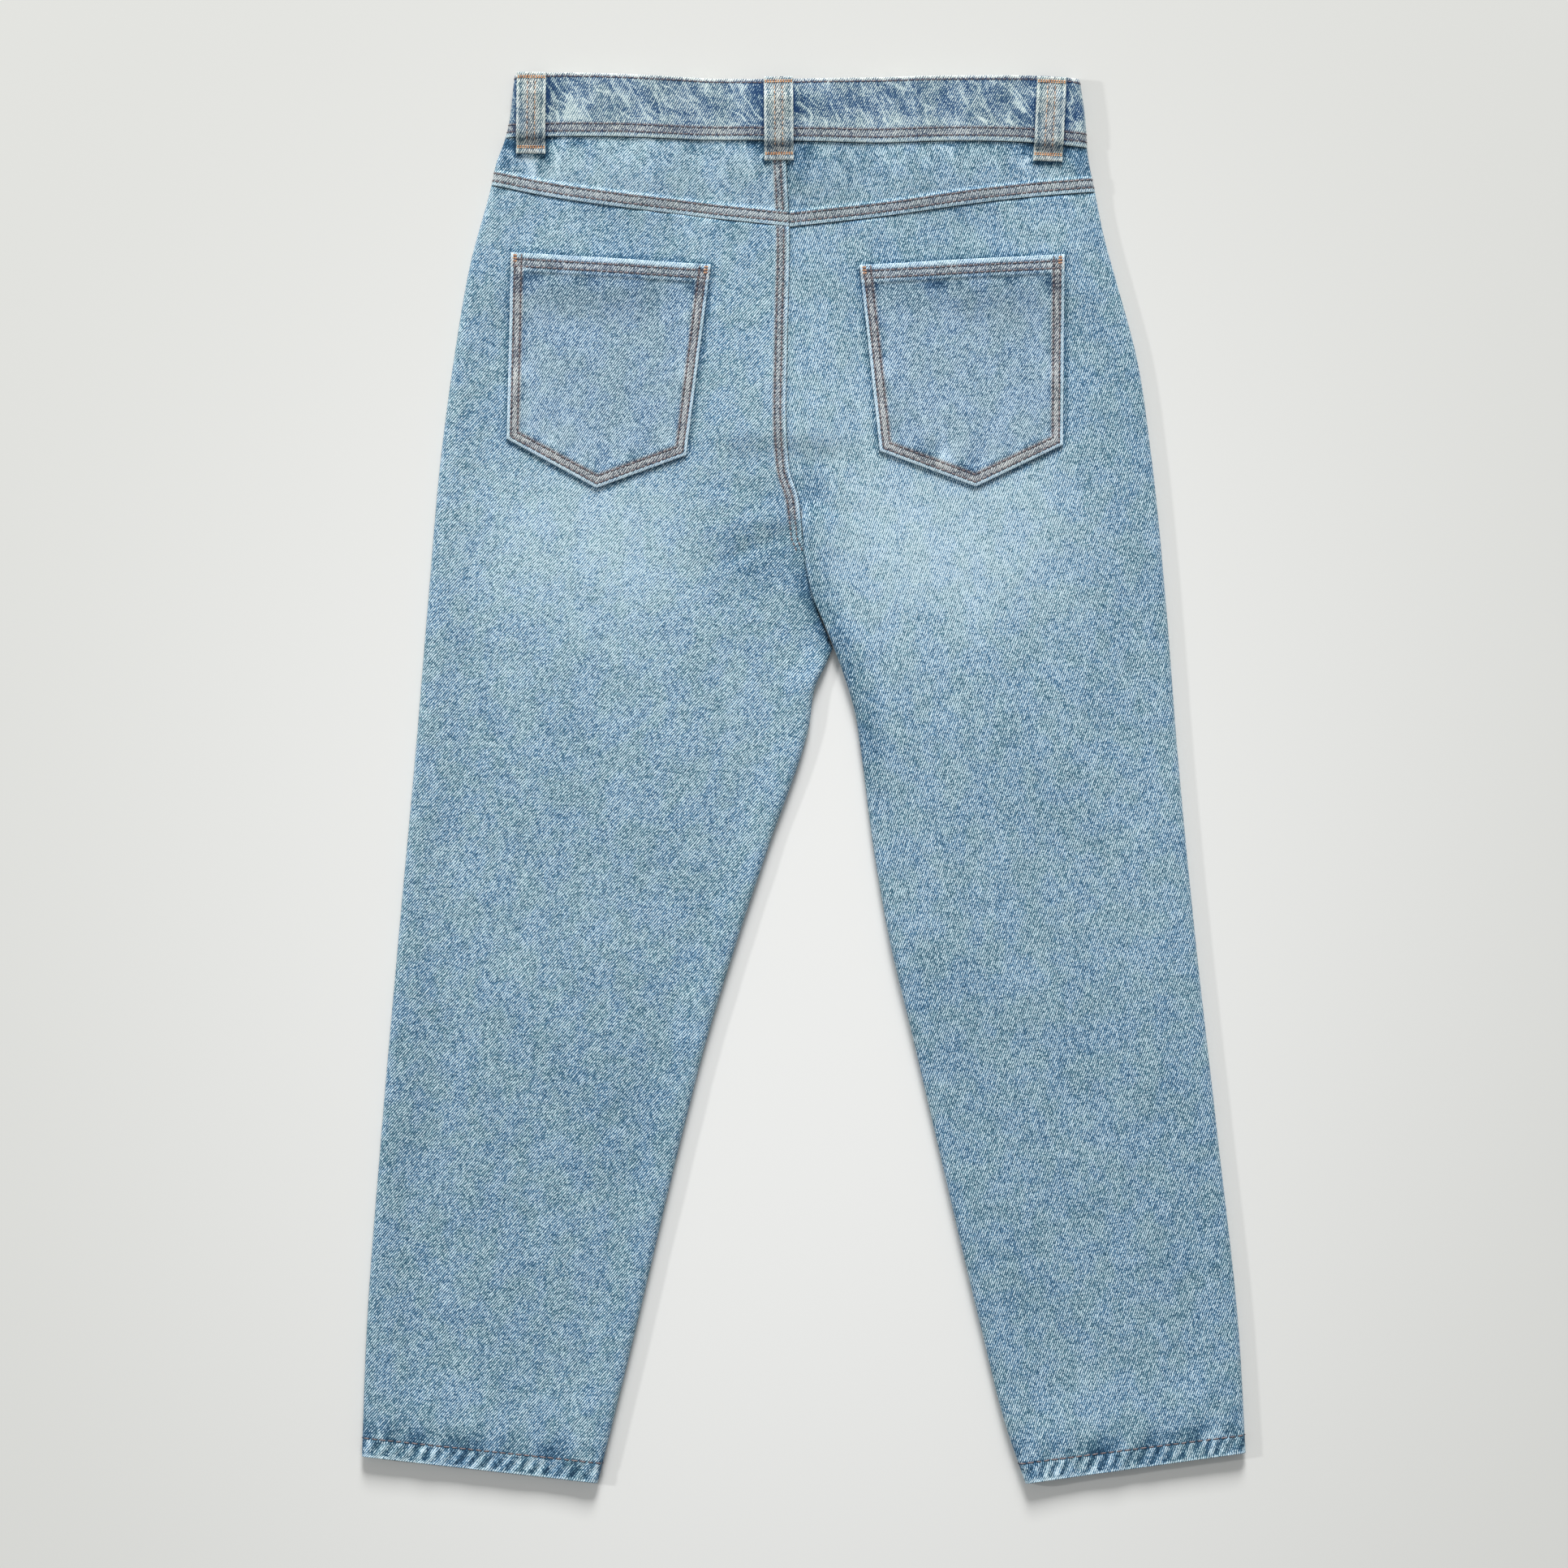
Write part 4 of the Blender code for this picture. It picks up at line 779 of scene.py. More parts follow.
for side in ("left", "right"):
    low, away = YOKE_SEAM[side], {"left": -1, "right": 1}[side]
    outer_low, inner_low = float(low(SIDE[side](365 * MM))), float(low(seat_seam(340 * MM)))
    outer_high = float(waist_seam(SIDE[side](393 * MM))) - SEAM_GAP
    inner_high = float(waist_seam(seat_seam(392 * MM))) - SEAM_GAP
    outer_y, inner_y = yoke_rows(outer_low, outer_high), yoke_rows(inner_low, inner_high)
    outer_x, inner_x = SIDE[side](outer_y), seat_seam(inner_y) + away * SEAM_GAP / 2
    grid, from_edge = folded(
        outer_x, inner_x, lambda x: yoke_rows(low(x), waist_seam(x) - SEAM_GAP), yoke_top, 112
    )
    grid[:, :6, 1] -= (outer_y - outer_low) / (outer_high - outer_low) * front_dip(grid[:, :6, 0])
    x, y = grid[..., 0], grid[..., 1]
    above, below = y - low(x), waist_seam(x) - y
    seamed = near(from_edge - 8 * MM, 1.5 * MM) * smooth((above - 8 * MM) / (3 * MM)) * (side == "left")
    sunk = ditches(above, 2.9, 7.7) + ditches(from_edge, 3.5, 7.0) * seamed
    grid[..., 2] += FELL_RISE * seamed - 0.14 * MM * sunk
    beside_loop = sum(near(np.abs(x - at * MM) - 9 * MM, 16 * MM) for at in (-168, -15.5, 151))
    blotches = np.maximum(ripple(x, y, 12 * MM, 34), 0)
    # The sunk term paints shade along the ditches of the stitch rows.
    tone = {"left": 0.12, "right": 0.01}[side] + 0.03 * ripple(x, y, 30 * MM, 35) - 0.5 * sunk
    tone = tone + 0.4 * near(above - 0.9 * MM, 1.0 * MM) - 0.3 * blotches * near(below - 2 * MM, 9 * MM)
    tone = tone - 0.3 * beside_loop * near(below - 3 * MM, 9 * MM) + 0.1 * puckers(x, below, 9 * MM, 6 * MM, 32)
    # The belt loops' term paints their shadow on the cloth round them.
    tone = tone + 0.35 * seamed * near(from_edge - 0.8 * MM, 1.2 * MM) - 0.55 * loop_painted_shadow(x, y)
    tone = tone - 0.22 * near(SIDE[side](y) * away - x * away - 4 * MM, 14 * MM) * (above > 10 * MM)
    sewn = 0.55 * strip(above, 2.0 * MM, 8.6 * MM) + 0.55 * seamed * strip(from_edge, 2.2 * MM, 8.4 * MM)
    marble = (0.2 + 0.7 * near(below - 3 * MM, 34 * MM)) * (1 - near(above - 9 * MM, 3 * MM)) * (0.4 + 0.6 * beside_loop)
    wall = DENIM + FELL_RISE * np.maximum(near(above - 8.5 * MM, 1.5 * MM) * 0.9, seamed)
    turned = {"left": math.radians(-11), "right": math.radians(9)}[side]
    wear_and_shade = tone, marble, np.minimum(sewn, 0.75)
    yoke = cloth(f"denim_yoke_{side}", grid, wall, wear_and_shade, [leg_denim, inside_denim], turned, side == "left")
    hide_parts(f"yoke_{side}")


# The fronts, which face the board. Each is one piece of the same denim from the waistband to the hem, cut away at
# the pocket in a quarter curve, and lapped at the fly and the front rise. Behind each cut-away shows a facing of
# the same denim, which reaches the side fold. They aren't seen in the photograph, so they are finished plainly.
FLY_LAP = 5 * MM
UNDERLAP = EDGE_ROUND + 3 * MM + SEAM_GAP


def scoop(side, t):
    """The pocket's curved mouth, from the waistband where t is 0 to the side where it is 1: a quarter ellipse."""
    away = {"left": -1, "right": 1}[side]
    start_x = SIDE[side](390 * MM) - away * 70 * MM
    start_y = waist_seam(start_x) - front_dip(start_x) - SEAM_GAP
    end_x = SIDE[side](start_y - 66 * MM) - away * UNDERLAP
    x = end_x + (start_x - end_x) * np.cos(t * math.pi / 2)
    return x, start_y - 66 * MM * np.sin(t * math.pi / 2)


for side in ("left", "right"):
    away, skew = {"left": -1, "right": 1}[side], SKEW[side]
    top_y = waist_seam(seat_seam(385 * MM)) - front_dip(seat_seam(385 * MM)) - SEAM_GAP
    t = np.linspace(0, 1, 16)
    scoop_x, scoop_y = scoop(side, t)
    leg_y = np.concatenate([np.linspace(296, 12, 48), np.linspace(4, -396, 51), np.linspace(-401, 0, 1)]) * MM
    leg_y = np.concatenate([leg_y[:-1], HEM_Y[side] + np.array([34, 26, 18, 14.5, 13.2, 12.0, 8, 4, 0.6, 0]) * MM])
    outer_y = leg_y + skew(leg_y) * near(leg_y - 120 * MM, 60 * MM)
    outer_x = SIDE[side](outer_y)
    inner_y = np.concatenate([top_y + (306 * MM - top_y) * t, leg_y])[:, None]
    outer_y = np.concatenate([scoop_y, outer_y])[:, None]
    outer_x = np.concatenate([scoop_x, outer_x])[:, None]
    start_x = outer_x - away * UNDERLAP * (np.arange(len(outer_x)) >= 16)[:, None]
    bowed = np.concatenate([(1 - t) ** 2, 0 * leg_y])[:, None]
    fly = FLY_LAP * smooth((inner_y - FLY_END) / FLY_TAPER)
    notch = smooth((98 * MM - inner_y) / (9 * MM))
    under = away * UNDERLAP
    seam_x = seat_seam(inner_y) + away * (SEAM_GAP / 2 - fly) + notch * under
    edge_x = np.where(inner_y <= CROTCH, INSEAM[side](inner_y), seam_x)
    inner_x = np.where(inner_y <= CROTCH, edge_x + under, seam_x)
    columns = np.concatenate([[0, 0.006], np.linspace(0.015, 0.985, 58), [0.994, 1]])[None, :]
    x = start_x + (inner_x - start_x) * columns
    y = outer_y + (inner_y - outer_y) * (x - outer_x) / (edge_x - outer_x)
    seam = waist_seam(x) - front_dip(x) - SEAM_GAP
    y = y + bowed * (seam - seam[:, :1] * (1 - columns) - seam[:, -1:] * columns)
    z = front_face(x, y)
    if side == "right":
        lapped = smooth((inner_y - FLY_END + 1.5 * FLY_TAPER) / FLY_TAPER)
        z = z + (DENIM + LAY_GAP) * lapped * near(x - seat_seam(y) - FLY_LAP - 1 * MM, 12 * MM)
    inset = np.minimum(np.abs(x - start_x), np.abs(x - inner_x))
    from_hem, from_waist = y - hem_line(x), waist_seam(x) - front_dip(x) - y
    quiet = smooth(inset / (20 * MM)) * smooth(from_hem / (30 * MM)) * smooth(from_waist / (40 * MM))
    z = z + 0.22 * MM * quiet * np.maximum(ripple(x, y, 60 * MM, 41), 0)
    grid = np.stack([x, y, z], axis=-1)
    rope = np.cos(math.tau * (x / (7.8 * MM) + 0.12 * ripple(x, y, 30 * MM, 42)))
    thigh = ((x - away * 120 * MM) / (55 * MM)) ** 2 + ((y - 110 * MM) / (130 * MM)) ** 2
    tone = 0.02 + 0.2 * np.exp(-thigh) - 0.08 * smooth((120 * MM - y) / (420 * MM)) + 0.03 * ripple(x, y, 50 * MM, 43)
    tone = tone + (0.35 * rope - 0.1) * strip(from_hem, 2 * MM, 11.5 * MM, 2 * MM)
    tone = tone + 0.3 * near(np.abs(x - start_x) - 1 * MM, 1.5 * MM) * (outer_y > 300 * MM)
    wall = DENIM + DENIM * strip(inner_y, HEM_Y[side], HEM_Y[side] + HEM_DEPTH, 1.2 * MM)
    front = cloth(
        f"denim_front_{side}", grid, wall, (tone, 0.2, 0.0), [leg_denim, inside_denim], -GRAIN[side], side == "left",
        from_below=True,
    )
    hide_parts(f"front_{side}")

    part = np.linspace(0, 0.93, 24)[:, None]
    start_x, _ = scoop(side, 0.0)
    outer_y = waist_seam(SIDE[side](388 * MM)) - front_dip(SIDE[side](388 * MM)) - SEAM_GAP - part * 82 * MM
    outer_x = SIDE[side](outer_y) - away * (UNDERLAP - SEAM_GAP - 2 * MM)
    inner_x = outer_x + (start_x - away * 14 * MM - outer_x) * np.sqrt(1 - part**2)
    x = outer_x + (inner_x - outer_x) * np.linspace(0, 1, 22)
    y = np.minimum(outer_y, waist_seam(x) - front_dip(x) - SEAM_GAP - part * 82 * MM)
    grid = np.stack([x, y, front_face(x, y) + DENIM + 0.6 * MM], axis=-1)
    facing = cloth(
        f"denim_facing_{side}", grid, DENIM, (-0.05, 0.3, 0.0), [leg_denim], -GRAIN[side], side == "left",
        from_below=True,
    )
    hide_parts(f"facing_{side}")


# The waistband. One straight strip of denim, folded double to 2.4 mm, runs from the outer lap at the front round
# the left side, the back and the right side to the under lap. It's darker and more marbled than the legs,
# because its four layers take the stonewash unevenly.
WAISTBAND_WALL = 2.4 * MM
waist_top = curve(
    (-178.7, 433.6), (-155.7, 434.8), (-116.7, 434), (-74.7, 432), (-26.7, 430.5), (50.3, 432.3), (98.3, 432.8),
    (162.3, 431.7), (174.3, 430.2),
)
waistband_denim = denim("denim_waistband", shown(28, 62, 104), shown(126, 154, 172), shown(218, 232, 230), 0.9)


def band_top(x, y):
    """The outer face of the waistband at the back: a step above the cloth below it, with soft dents."""
    inset = np.minimum(x - SIDE["left"](y), SIDE["right"](y) - x)
    dents = 0.16 * MM * ripple(x, 0.5 * y, 11 * MM, 51) * smooth(inset / (14 * MM))
    height = (y - waist_seam(x)) / (waist_top(x) - waist_seam(x))
    crown = np.clip(4 * height * (1 - height), 0, 1) ** 0.5
    return back_face(x, y) + WAIST_STEP + crown * (dents + 0.15 * MM) - 0.3 * MM * near(crown, 0.3)


BAND_LINES = np.array([0, 0.4, 1.2, 2.2, 2.9, 3.2, 3.6, 4.0, 4.4, 5.2, 6.4, 7.4, 7.7, 8.1, 8.5, 8.9, 9.6, 10.6])
BAND_LINES = np.concatenate([BAND_LINES, np.linspace(11.8, 35.2, 20), [36.2, 36.9, 37.3, 37.7, 38.1, 38.7, 39.4, 40]])
part = BAND_LINES[:, None] / 40


def back_y(x):
    return waist_seam(x) * (1 - part) + waist_top(x) * part


def front_y(x):
    return back_y(x) - front_dip(x)


side_x = {}
for side in ("left", "right"):
    side_y = back_y(SIDE[side](back_y(SIDE[side](410 * MM))))
    side_x[side] = SIDE[side](side_y)
rounding, lap_x = 4.6 * MM, float(seat_seam(400 * MM))
ends = side_x["left"] + rounding, side_x["right"] - rounding
across = np.linspace(0, 1, 250)[None, 1:-1]
half_turn = np.linspace(0, math.pi, 11)[None, :]
lap = np.linspace(lap_x + 17 * MM, lap_x - 17 * MM, 16)[None, :] + 0 * part
pieces = []
x = np.hstack([lap, lap[:, -1:] + (ends[0] - lap[:, -1:]) * np.linspace(0, 1, 60)[1:-1]])
pieces.append(np.stack([x, front_y(x), front_face(x, front_y(x)) - WAIST_STEP], axis=-1))
for end, way, angle in ((ends[0], 1, half_turn), (ends[1], -1, half_turn[:, ::-1])):
    high, low = band_top(end, back_y(end)), front_face(end, front_y(end)) - WAIST_STEP
    x = end - way * rounding * np.sin(angle)
    y = np.where(angle > math.pi * 0.6, back_y(x), front_y(x))
    pieces.append(np.stack([x, y, low + (high - low) * (1 - np.cos(angle)) / 2], axis=-1))
    if way > 0:
        x = ends[0] + (ends[1] - ends[0]) * across
        pieces.append(np.stack([x, back_y(x), band_top(x, back_y(x))], axis=-1))
ramp = lap_x + 18 * MM
x = ends[1] + (ramp + 14 * MM - ends[1]) * np.linspace(0, 1, 50)[1:]
x = np.hstack([x, np.linspace(ramp + 13 * MM, lap_x - 17 * MM, 26)[None, :] + 0 * part])
over_lap = (WAISTBAND_WALL + LAY_GAP) * near(x - ramp, 14 * MM)
pieces.append(np.stack([x, front_y(x), front_face(x, front_y(x)) - WAIST_STEP + over_lap], axis=-1))
grid = np.concatenate(pieces, axis=1)
x, y = grid[..., 0], grid[..., 1]
sunk = ditches(part * 40 * MM, 3.6, 8.1, 37.7) + 0 * x
ring = np.cumsum(np.hstack([np.zeros((len(part), 1)), np.linalg.norm(np.diff(grid, axis=1), axis=-1)]), axis=1)
above, below = part * 40 * MM, (1 - part) * 40 * MM
loops = (-168, -15.5, 151)
beside_loop = np.minimum(sum(near(np.abs(x - at * MM) - 9 * MM, 22 * MM) for at in loops), 1)
blotches = ripple(ring, y, 17 * MM, 52)
# The sunk term paints shade along the ditches of the stitch rows, and the belt loops' term below paints their shadow.
tone = -0.04 - 0.16 * beside_loop + 0.07 * blotches - 0.5 * sunk + 0.16 * near(above - 1.8 * MM, 1.6 * MM)
tone = tone + 0.3 * near(above - 1.7 * MM, 0.6 * MM) + 0.5 * near(below - 1.3 * MM, 0.8 * MM)
tone = tone + 0.2 * strip(above, 9 * MM, 15 * MM, 4 * MM) - 0.55 * loop_painted_shadow(x, y)
sewn = 0.5 * strip(above, 2.6 * MM, 9.2 * MM) + 0.45 * near(below - 2.4 * MM, 1.0 * MM)
marble = (0.62 + 0.38 * beside_loop) * (1 - 0.9 * near(above - 9 * MM, 2 * MM))
band = cloth(
    "denim_waistband", grid, WAISTBAND_WALL, (tone, marble, sewn + 0 * ring), [waistband_denim], 0.03,
    face_down=True,
)
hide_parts("waistband")


# The belt loops. Each is a strip of the same denim, folded in three to 18 mm wide and 1.6 mm thick, paler where its
# edges rub. Its ends are turned under and sewn to the waistband and the yoke, and it stands off them between.
LOOP_WALL = 1.6 * MM
loop_denim = denim("denim_loop", shown(42, 68, 92), shown(144, 162, 168), shown(226, 232, 226), 0.6)


def back_ground(x, y):
    """What a back loop is sewn on: the higher of the waistband and the yoke within 2.2 mm of each point."""
    found = []
    for step in (-2.2 * MM, 0, 2.2 * MM):
        on_band = smooth((y + step - waist_seam(x)) / (0.6 * MM))
        top = yoke_top(x, y + step) * (1 - on_band) + band_top(x, np.maximum(y + step, waist_seam(x))) * on_band
        found.append(top)
    return np.maximum(np.maximum(found[0], found[1]), found[2])


def front_ground(x, y):
    """What a front loop is sewn on: the lower of the waistband's outer face and the front's."""
    return front_face(x, y) - WAIST_STEP * smooth((y - waist_seam(x) + front_dip(x) + 3 * MM) / (1 * MM))


for where, (top_x, top_y, low_x, low_y) in [*BACK_LOOPS.items(), *(("front_" + s, p) for s, p in FRONT_LOOPS.items())]:
    hidden = where.startswith("front")
    start, end = np.array([top_x, top_y]) * MM, np.array([low_x, low_y]) * MM
    length = float(np.linalg.norm(end - start))
    along = (end - start) / length
    s = np.concatenate([[0, 0.4, 1.0], np.linspace(2, length / MM - 2, 44), length / MM - np.array([1.0, 0.4, 0])]) * MM
    w = np.concatenate([[-9, -8.6, -8], np.linspace(-7.2, 7.2, 17), [8, 8.6, 9]]) * MM
    s, w = s[:, None], w[None, :]
    x = start[0] + along[0] * s - along[1] * w
    y = start[1] + along[1] * s + along[0] * w
    edge, end_in = 9 * MM - np.abs(w), np.minimum(s, length - s)
    rounded = 0.4 * MM * (near(edge, 1.3 * MM) + near(end_in, 1.0 * MM) * (1 - near(edge, 1.3 * MM)))
    if hidden:
        z = front_ground(x, y) - LAY_GAP - LOOP_WALL + rounded
    else:
        rise = 1.9 * MM * smooth((s - 6 * MM) / (8 * MM)) * smooth((length - 6 * MM - s) / (8 * MM))
        tacked = 0.35 * MM * (near(np.abs(s - 3.2 * MM) - 1 * MM, 2 * MM) + near(np.abs(length - s - 4.2 * MM), 3 * MM))
        fold = 0.15 * MM * near(np.abs(np.abs(w) - 3.2 * MM), 1.2 * MM)
        z = back_ground(x, y) + LAY_GAP + LOOP_WALL + rise - rounded - tacked - fold
    grid = np.stack([x, y, z], axis=-1)
    tone = 0.04 + 0.45 * near(edge - 1.0 * MM, 0.8 * MM) + 0.35 * near(end_in - 1.2 * MM, 1.2 * MM)
    tone = tone - 0.35 * near(np.abs(np.abs(w) - 6.3 * MM), 1.5 * MM) - 0.4 * near(np.abs(length - s - 9.0 * MM), 1.4 * MM)
    tone = tone - 0.3 * near(np.abs(np.abs(w) - 1.8 * MM), 0.9 * MM)
    tone = tone + 0.05 * ripple(x, y, 9 * MM, 61)
    sewn = 0.35 * near(np.abs(w) - 2.6 * MM, 2 * MM) + 0 * s
    loop = cloth(
        f"denim_loop_{where}", grid, LOOP_WALL, (tone, 0.15, sewn), [loop_denim], 0.05, hidden, hidden
    )
    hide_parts(f"loop_{where}")


# The button. A turned cap of brass-coloured metal on a shank goes through the outer lap of the waistband, cap down
# on the board. Its face is a raised rim round a plain dished middle.
brass = Finish("worn brass", 0.42, metallic=1.0)
at = brass.node("ShaderNodeTexCoord", {}, {}, out=3)
at = brass.node("ShaderNodeSeparateXYZ", {}, {0: at})
rubbed = brass.noise(at * 900, at.other(1) * 900, 9, detail=3.0)
brass.give("Base Color", brass.mix(rubbed.between(0.35, 0.65), shown(120, 98, 66), shown(190, 168, 128)))
brass.give("Roughness", 0.3 + 0.35 * rubbed)
radius = np.array([4.0, 4.0, 8.1, 8.45, 8.5, 8.5, 8.3, 7.7, 6.9, 6.4, 6.0, 3.0]) * MM
height = np.array([3.0, 2.2, 2.2, 2.0, 1.7, 0.9, 0.45, 0.12, 0.0, 0.1, 0.35, 0.5]) * MM
angle = np.arange(48) / 48 * math.tau
ring = np.stack(
    [BUTTON_X + radius[:, None] * np.cos(angle), BUTTON_Y + radius[:, None] * np.sin(angle), height[:, None] + 0 * angle],
    axis=-1,
)
index = np.arange(ring.shape[0] * 48).reshape(-1, 48)
turn = np.roll(index, -1, axis=1)
quads = np.stack([index[:-1], turn[:-1], turn[1:], index[1:]], axis=-1).reshape(-1, 4)
poles = [(BUTTON_X, BUTTON_Y, 3.0 * MM), (BUTTON_X, BUTTON_Y, 0.55 * MM)]
first, last = index.size, index.size + 1
fans = [(first, b, a) for a, b in zip(index[0].tolist(), turn[0].tolist())]
fans += [(last, a, b) for a, b in zip(index[-1].tolist(), turn[-1].tolist())]
button_mesh = bpy.data.meshes.new("jeans_button")
button_mesh.from_pydata([*ring.reshape(-1, 3).tolist(), *poles], [], [*quads[:, ::-1].tolist(), *fans])
button_mesh.materials.append(brass.material)
button_mesh.polygons.foreach_set("use_smooth", np.ones(len(button_mesh.polygons), dtype=bool))
button = bpy.data.objects.new("jeans_button", button_mesh)
bpy.context.scene.collection.objects.link(button)
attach(button, "root")
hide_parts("button")


# The stitching. Every seam is sewn in a thick grey-brown cotton thread, mostly in two rows 4 mm apart with about
# seven stitches to 25 mm, and the ends of the loops and pocket mouths are tacked with an orange one. A stitch is
# a small arch of thread, with painted shade where it goes into the cloth and a painted highlight on its crown.
def thread(name, dark, light):
    """Twisted thread, whose colour is painted dark at a stitch's ends as shade and light on its crown as a highlight.
    """
    made = Finish(name, 0.7, sheen=0.2)
    shade = made.node("ShaderNodeAttribute", {"attribute_name": "crown"}, {}, out=2)
    at = made.node("ShaderNodeTexCoord", {}, {}, out=3)
    at = made.node("ShaderNodeSeparateXYZ", {}, {0: at})
    twist = made.noise(at * 1500, at.other(1) * 1500, 11)
    made.give("Base Color", made.mix((shade + 0.8 * (twist - 0.5)).between(0.1, 0.95), dark, light))
    return made


# In each thread the dark colour is painted shade where a stitch dives in, and the light one a painted highlight on its
# crown.
seam_thread = thread("thread_grey_brown", shown(40, 38, 48), shown(136, 122, 124))
tack_thread = thread("thread_orange", shown(126, 78, 58), shown(238, 176, 122))


def on_cloth(name, row, column):
    """The places and normals at fractional rows and columns of a piece's outer face, by two-way interpolation."""
    grid, normal = faces_of[name]
    row, column = np.broadcast_arrays(np.asarray(row, float), np.asarray(column, float))
    r = np.clip(row.astype(int), 0, grid.shape[0] - 2)
    c = np.clip(column.astype(int), 0, grid.shape[1] - 2)
    a, b = (row - r)[..., None], (column - c)[..., None]

    def blended(of):
        upper = of[r, c] * (1 - b) + of[r, c + 1] * b
        return upper * (1 - a) + (of[r + 1, c] * (1 - b) + of[r + 1, c + 1] * b) * a

    return blended(grid), blended(normal)


def stitches(name, runs, pitch, finish, thick=0.42, seed=1):
    """Stitches at even steps along each run of places and normals, each an arch of five stations.

    Its middle stations are squares of thread across the run, and its first and last are points in the cloth.
    """
    middles, ways, ups = [], [], []
    for places, normals in runs:
        gone = np.concatenate([[0], np.cumsum(np.linalg.norm(np.diff(places, axis=0), axis=-1))])
        count = max(int(gone[-1] / pitch), 1)
        at = (np.arange(count) + 0.5) * gone[-1] / count
        here, ahead, up = (
            np.stack([np.interp(at + step, gone, of[:, i]) for i in range(3)], axis=-1)
            for of, step in ((places, -0.1 * pitch), (places, 0.1 * pitch), (normals, 0.0))
        )
        middles.append((here + ahead) / 2)
        ways.append((ahead - here) / np.linalg.norm(ahead - here, axis=-1, keepdims=True))
        ups.append(up / np.linalg.norm(up, axis=-1, keepdims=True))
    middle, way, up = (np.concatenate(each)[:, None, None, :] for each in (middles, ways, ups))
    aside = np.cross(up, way)
    count = len(middle)
    uneven = np.random.default_rng(seed).normal(0, 1, (count, 3))
    way = way + aside * uneven[:, 0, None, None, None] * 0.06
    size = 1 + 0.08 * uneven[:, 1, None, None, None]
    reach = np.array([-0.47, -0.3, 0.0, 0.3, 0.47])[None, :, None, None] * pitch * size
    height = np.array([-0.25, 0.12, 0.22, 0.12, -0.25])[None, :, None, None] * MM
    angle = np.arange(4)[None, None, :, None] * math.pi / 2
    girth = np.array([0.05, 0.9, 1.0, 0.9, 0.05])[None, :, None, None] * thick * MM
    points = middle + way * reach + up * (height + girth * 0.8 * np.sin(angle)) + aside * girth * np.cos(angle)
    # The crown value: painted shade at a stitch's two ends and a painted highlight on its middle, a little different
    # for each stitch.
    shade = np.array([0.0, 0.6, 1.0, 0.6, 0.0])[None, :, None] + 0.14 * uneven[:, 2, None, None] + 0 * angle[..., 0]
    index = np.arange(count * 20).reshape(count, 5, 4)
    turn = np.roll(index, -1, axis=2)
    quads = np.stack([index[:, :-1], turn[:, :-1], turn[:, 1:], index[:, 1:]], axis=-1).reshape(-1, 4)
    caps = np.concatenate([index[:, 0, ::-1], index[:, -1]])
    mesh = bpy.data.meshes.new(name)
    mesh.from_pydata(points.reshape(-1, 3), [], np.concatenate([quads, caps]))
    mesh.polygons.foreach_set("use_smooth", np.ones(len(quads) + len(caps), dtype=bool))
    mesh.attributes.new("crown", "FLOAT", "POINT").data.foreach_set("value", np.clip(shade, 0, 1).ravel())
    mesh.materials.append(finish.material)
    piece = bpy.data.objects.new(name, mesh)
    bpy.context.scene.collection.objects.link(piece)
    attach(piece, "root")
    return piece


def along_lines(name, corners, steps=80):
    """A run along a piece's grid lines, from corner to corner, each given as its row and its column."""
    rows, columns = np.array(corners, float).T
    at = np.linspace(0, len(corners) - 1, steps * (len(corners) - 1) + 1)
    return on_cloth(name, np.interp(at, np.arange(len(corners)), rows), np.interp(at, np.arange(len(corners)), columns))


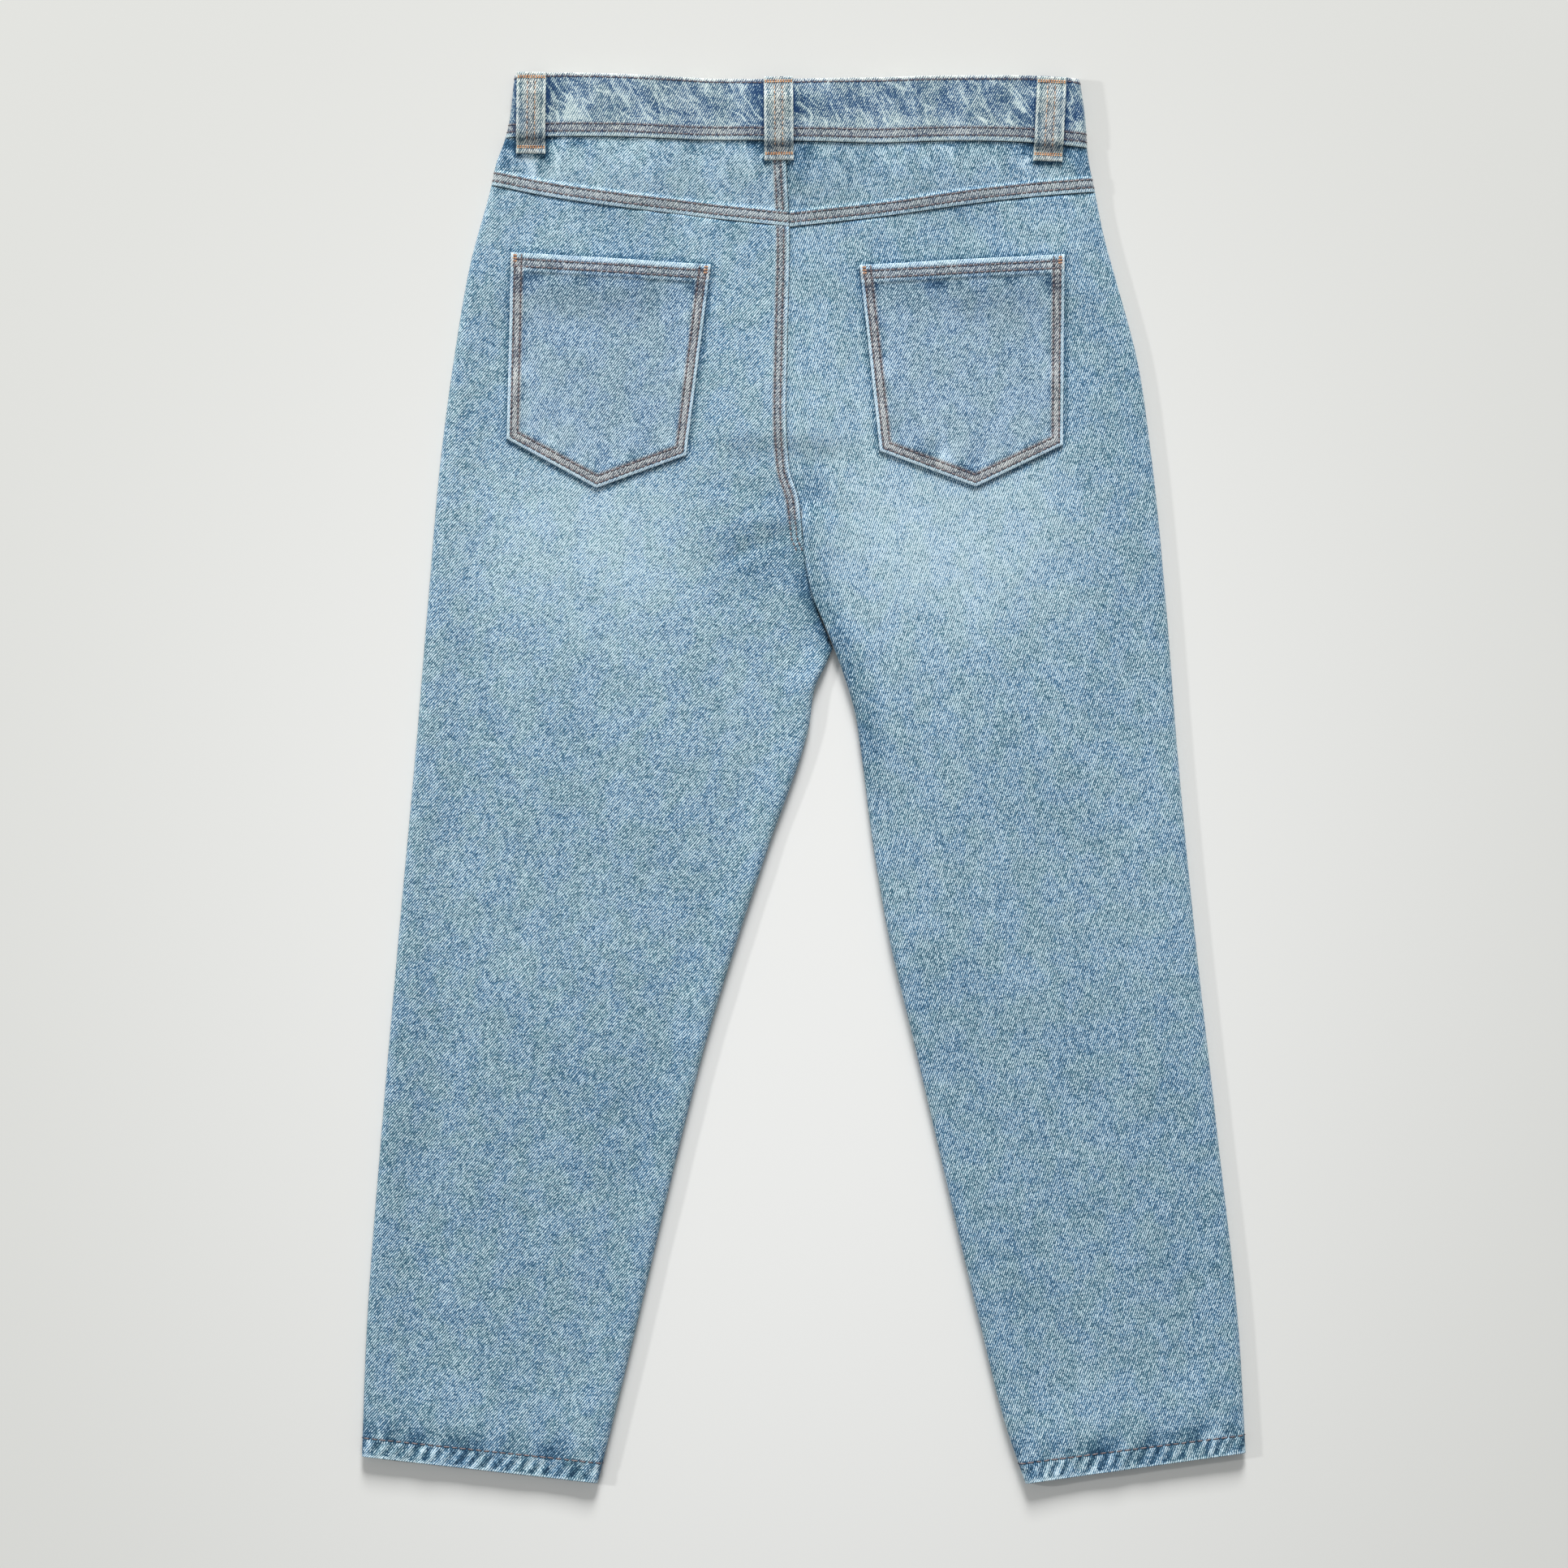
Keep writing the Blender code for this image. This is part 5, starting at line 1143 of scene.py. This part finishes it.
for side in ("left", "right"):
    name = f"denim_pocket_{side}"
    rows, columns = faces_of[name][0].shape[:2]
    runs = []
    for line in (5, 11):
        last_row, last_column = rows - 1 - line, columns - 1 - line
        runs.append(along_lines(name, [(1, line), (last_row, line), (last_row, last_column), (1, last_column)], 200))
    runs += [along_lines(name, [(line, 3), (line, columns - 4)], 200) for line in (5, 10)]
    stitches(f"stitching_pocket_{side}", runs, 3.4 * MM, seam_thread, seed=2)

    name = f"denim_yoke_{side}"
    rows, columns = faces_of[name][0].shape[:2]
    runs = [along_lines(name, [(line, 6), (line, columns - 1.5)], 400) for line in (5, 11)]
    if side == "left":
        # the seat seam's rows, 3.5 and 7 mm in from its edge, on the yoke and then on the leg
        for line in (4, 8):
            runs.append(along_lines(name, [(13, columns - 12 + line), (rows - 1, columns - 12 + line)]))
            column = faces_of["denim_back_left"][0].shape[1] - 12 + line
            runs.append(along_lines("denim_back_left", [(0.5, column), (100, column)], 300))
    stitches(f"stitching_yoke_{side}", runs, 3.3 * MM, seam_thread, seed=3)

    rows, columns = faces_of[f"denim_back_{side}"][0].shape[:2]
    at = rows - len(HEM_LINES) + 14
    runs = [along_lines(f"denim_back_{side}", [(at, 3), (at, columns - 4)], 300)]
    columns = faces_of[f"denim_front_{side}"][0].shape[1]
    runs.append(on_cloth(f"denim_front_{side}", faces_of[f"denim_front_{side}"][0].shape[0] - 5.0, np.arange(columns)))
    stitches(f"stitching_hem_{side}", runs, 4.9 * MM, seam_thread, seed=4)

    # the scoop's two rows and the front rise's, on the side that faces the board
    rows = faces_of[f"denim_front_{side}"][0].shape[0]
    runs = [on_cloth(f"denim_front_{side}", np.linspace(0, 15, 80), inset) for inset in (2.6, 4.9)]
    if side == "left":
        runs += [on_cloth("denim_front_left", np.linspace(0, 42, 160), columns - 1 - inset) for inset in (2.4, 4.8)]
    stitches(f"stitching_front_{side}", runs, 3.4 * MM, seam_thread, thick=0.24, seed=5)

grid, _ = faces_of["denim_waistband"]
lines = [int(np.argmin(np.abs(BAND_LINES - height))) for height in (3.6, 8.1, 37.7)]
runs = [along_lines("denim_waistband", [(line, 0.5), (line, grid.shape[1] - 1.5)], 1600) for line in lines]
stitches("stitching_waistband", runs, 3.35 * MM, seam_thread, thick=0.28, seed=6)

runs, tacks = [], []
for where in BACK_LOOPS:
    name = f"denim_loop_{where}"
    rows, columns = faces_of[name][0].shape[:2]
    for column in (8.4, columns - 9.4):
        runs.append(on_cloth(name, np.linspace(6, rows - 10, 60), column))
    for row in (3.4, 4.3, rows - 6.4, rows - 5.5):
        tacks.append(on_cloth(name, row, np.linspace(0.8, columns - 1.8, 30)))
stitches("stitching_loops", runs, 3.0 * MM, tack_thread, thick=0.16, seed=7)
for side in ("left", "right"):
    name = f"denim_pocket_{side}"
    columns = faces_of[name][0].shape[1]
    for line in (3.5, 5.5, 7.0):
        tacks += [along_lines(name, [(1.5, column), (7.5, column)], 12) for column in (line, columns - 1 - line)]
stitches("stitching_tacks", tacks, 1.5 * MM, tack_thread, thick=0.34, seed=8)
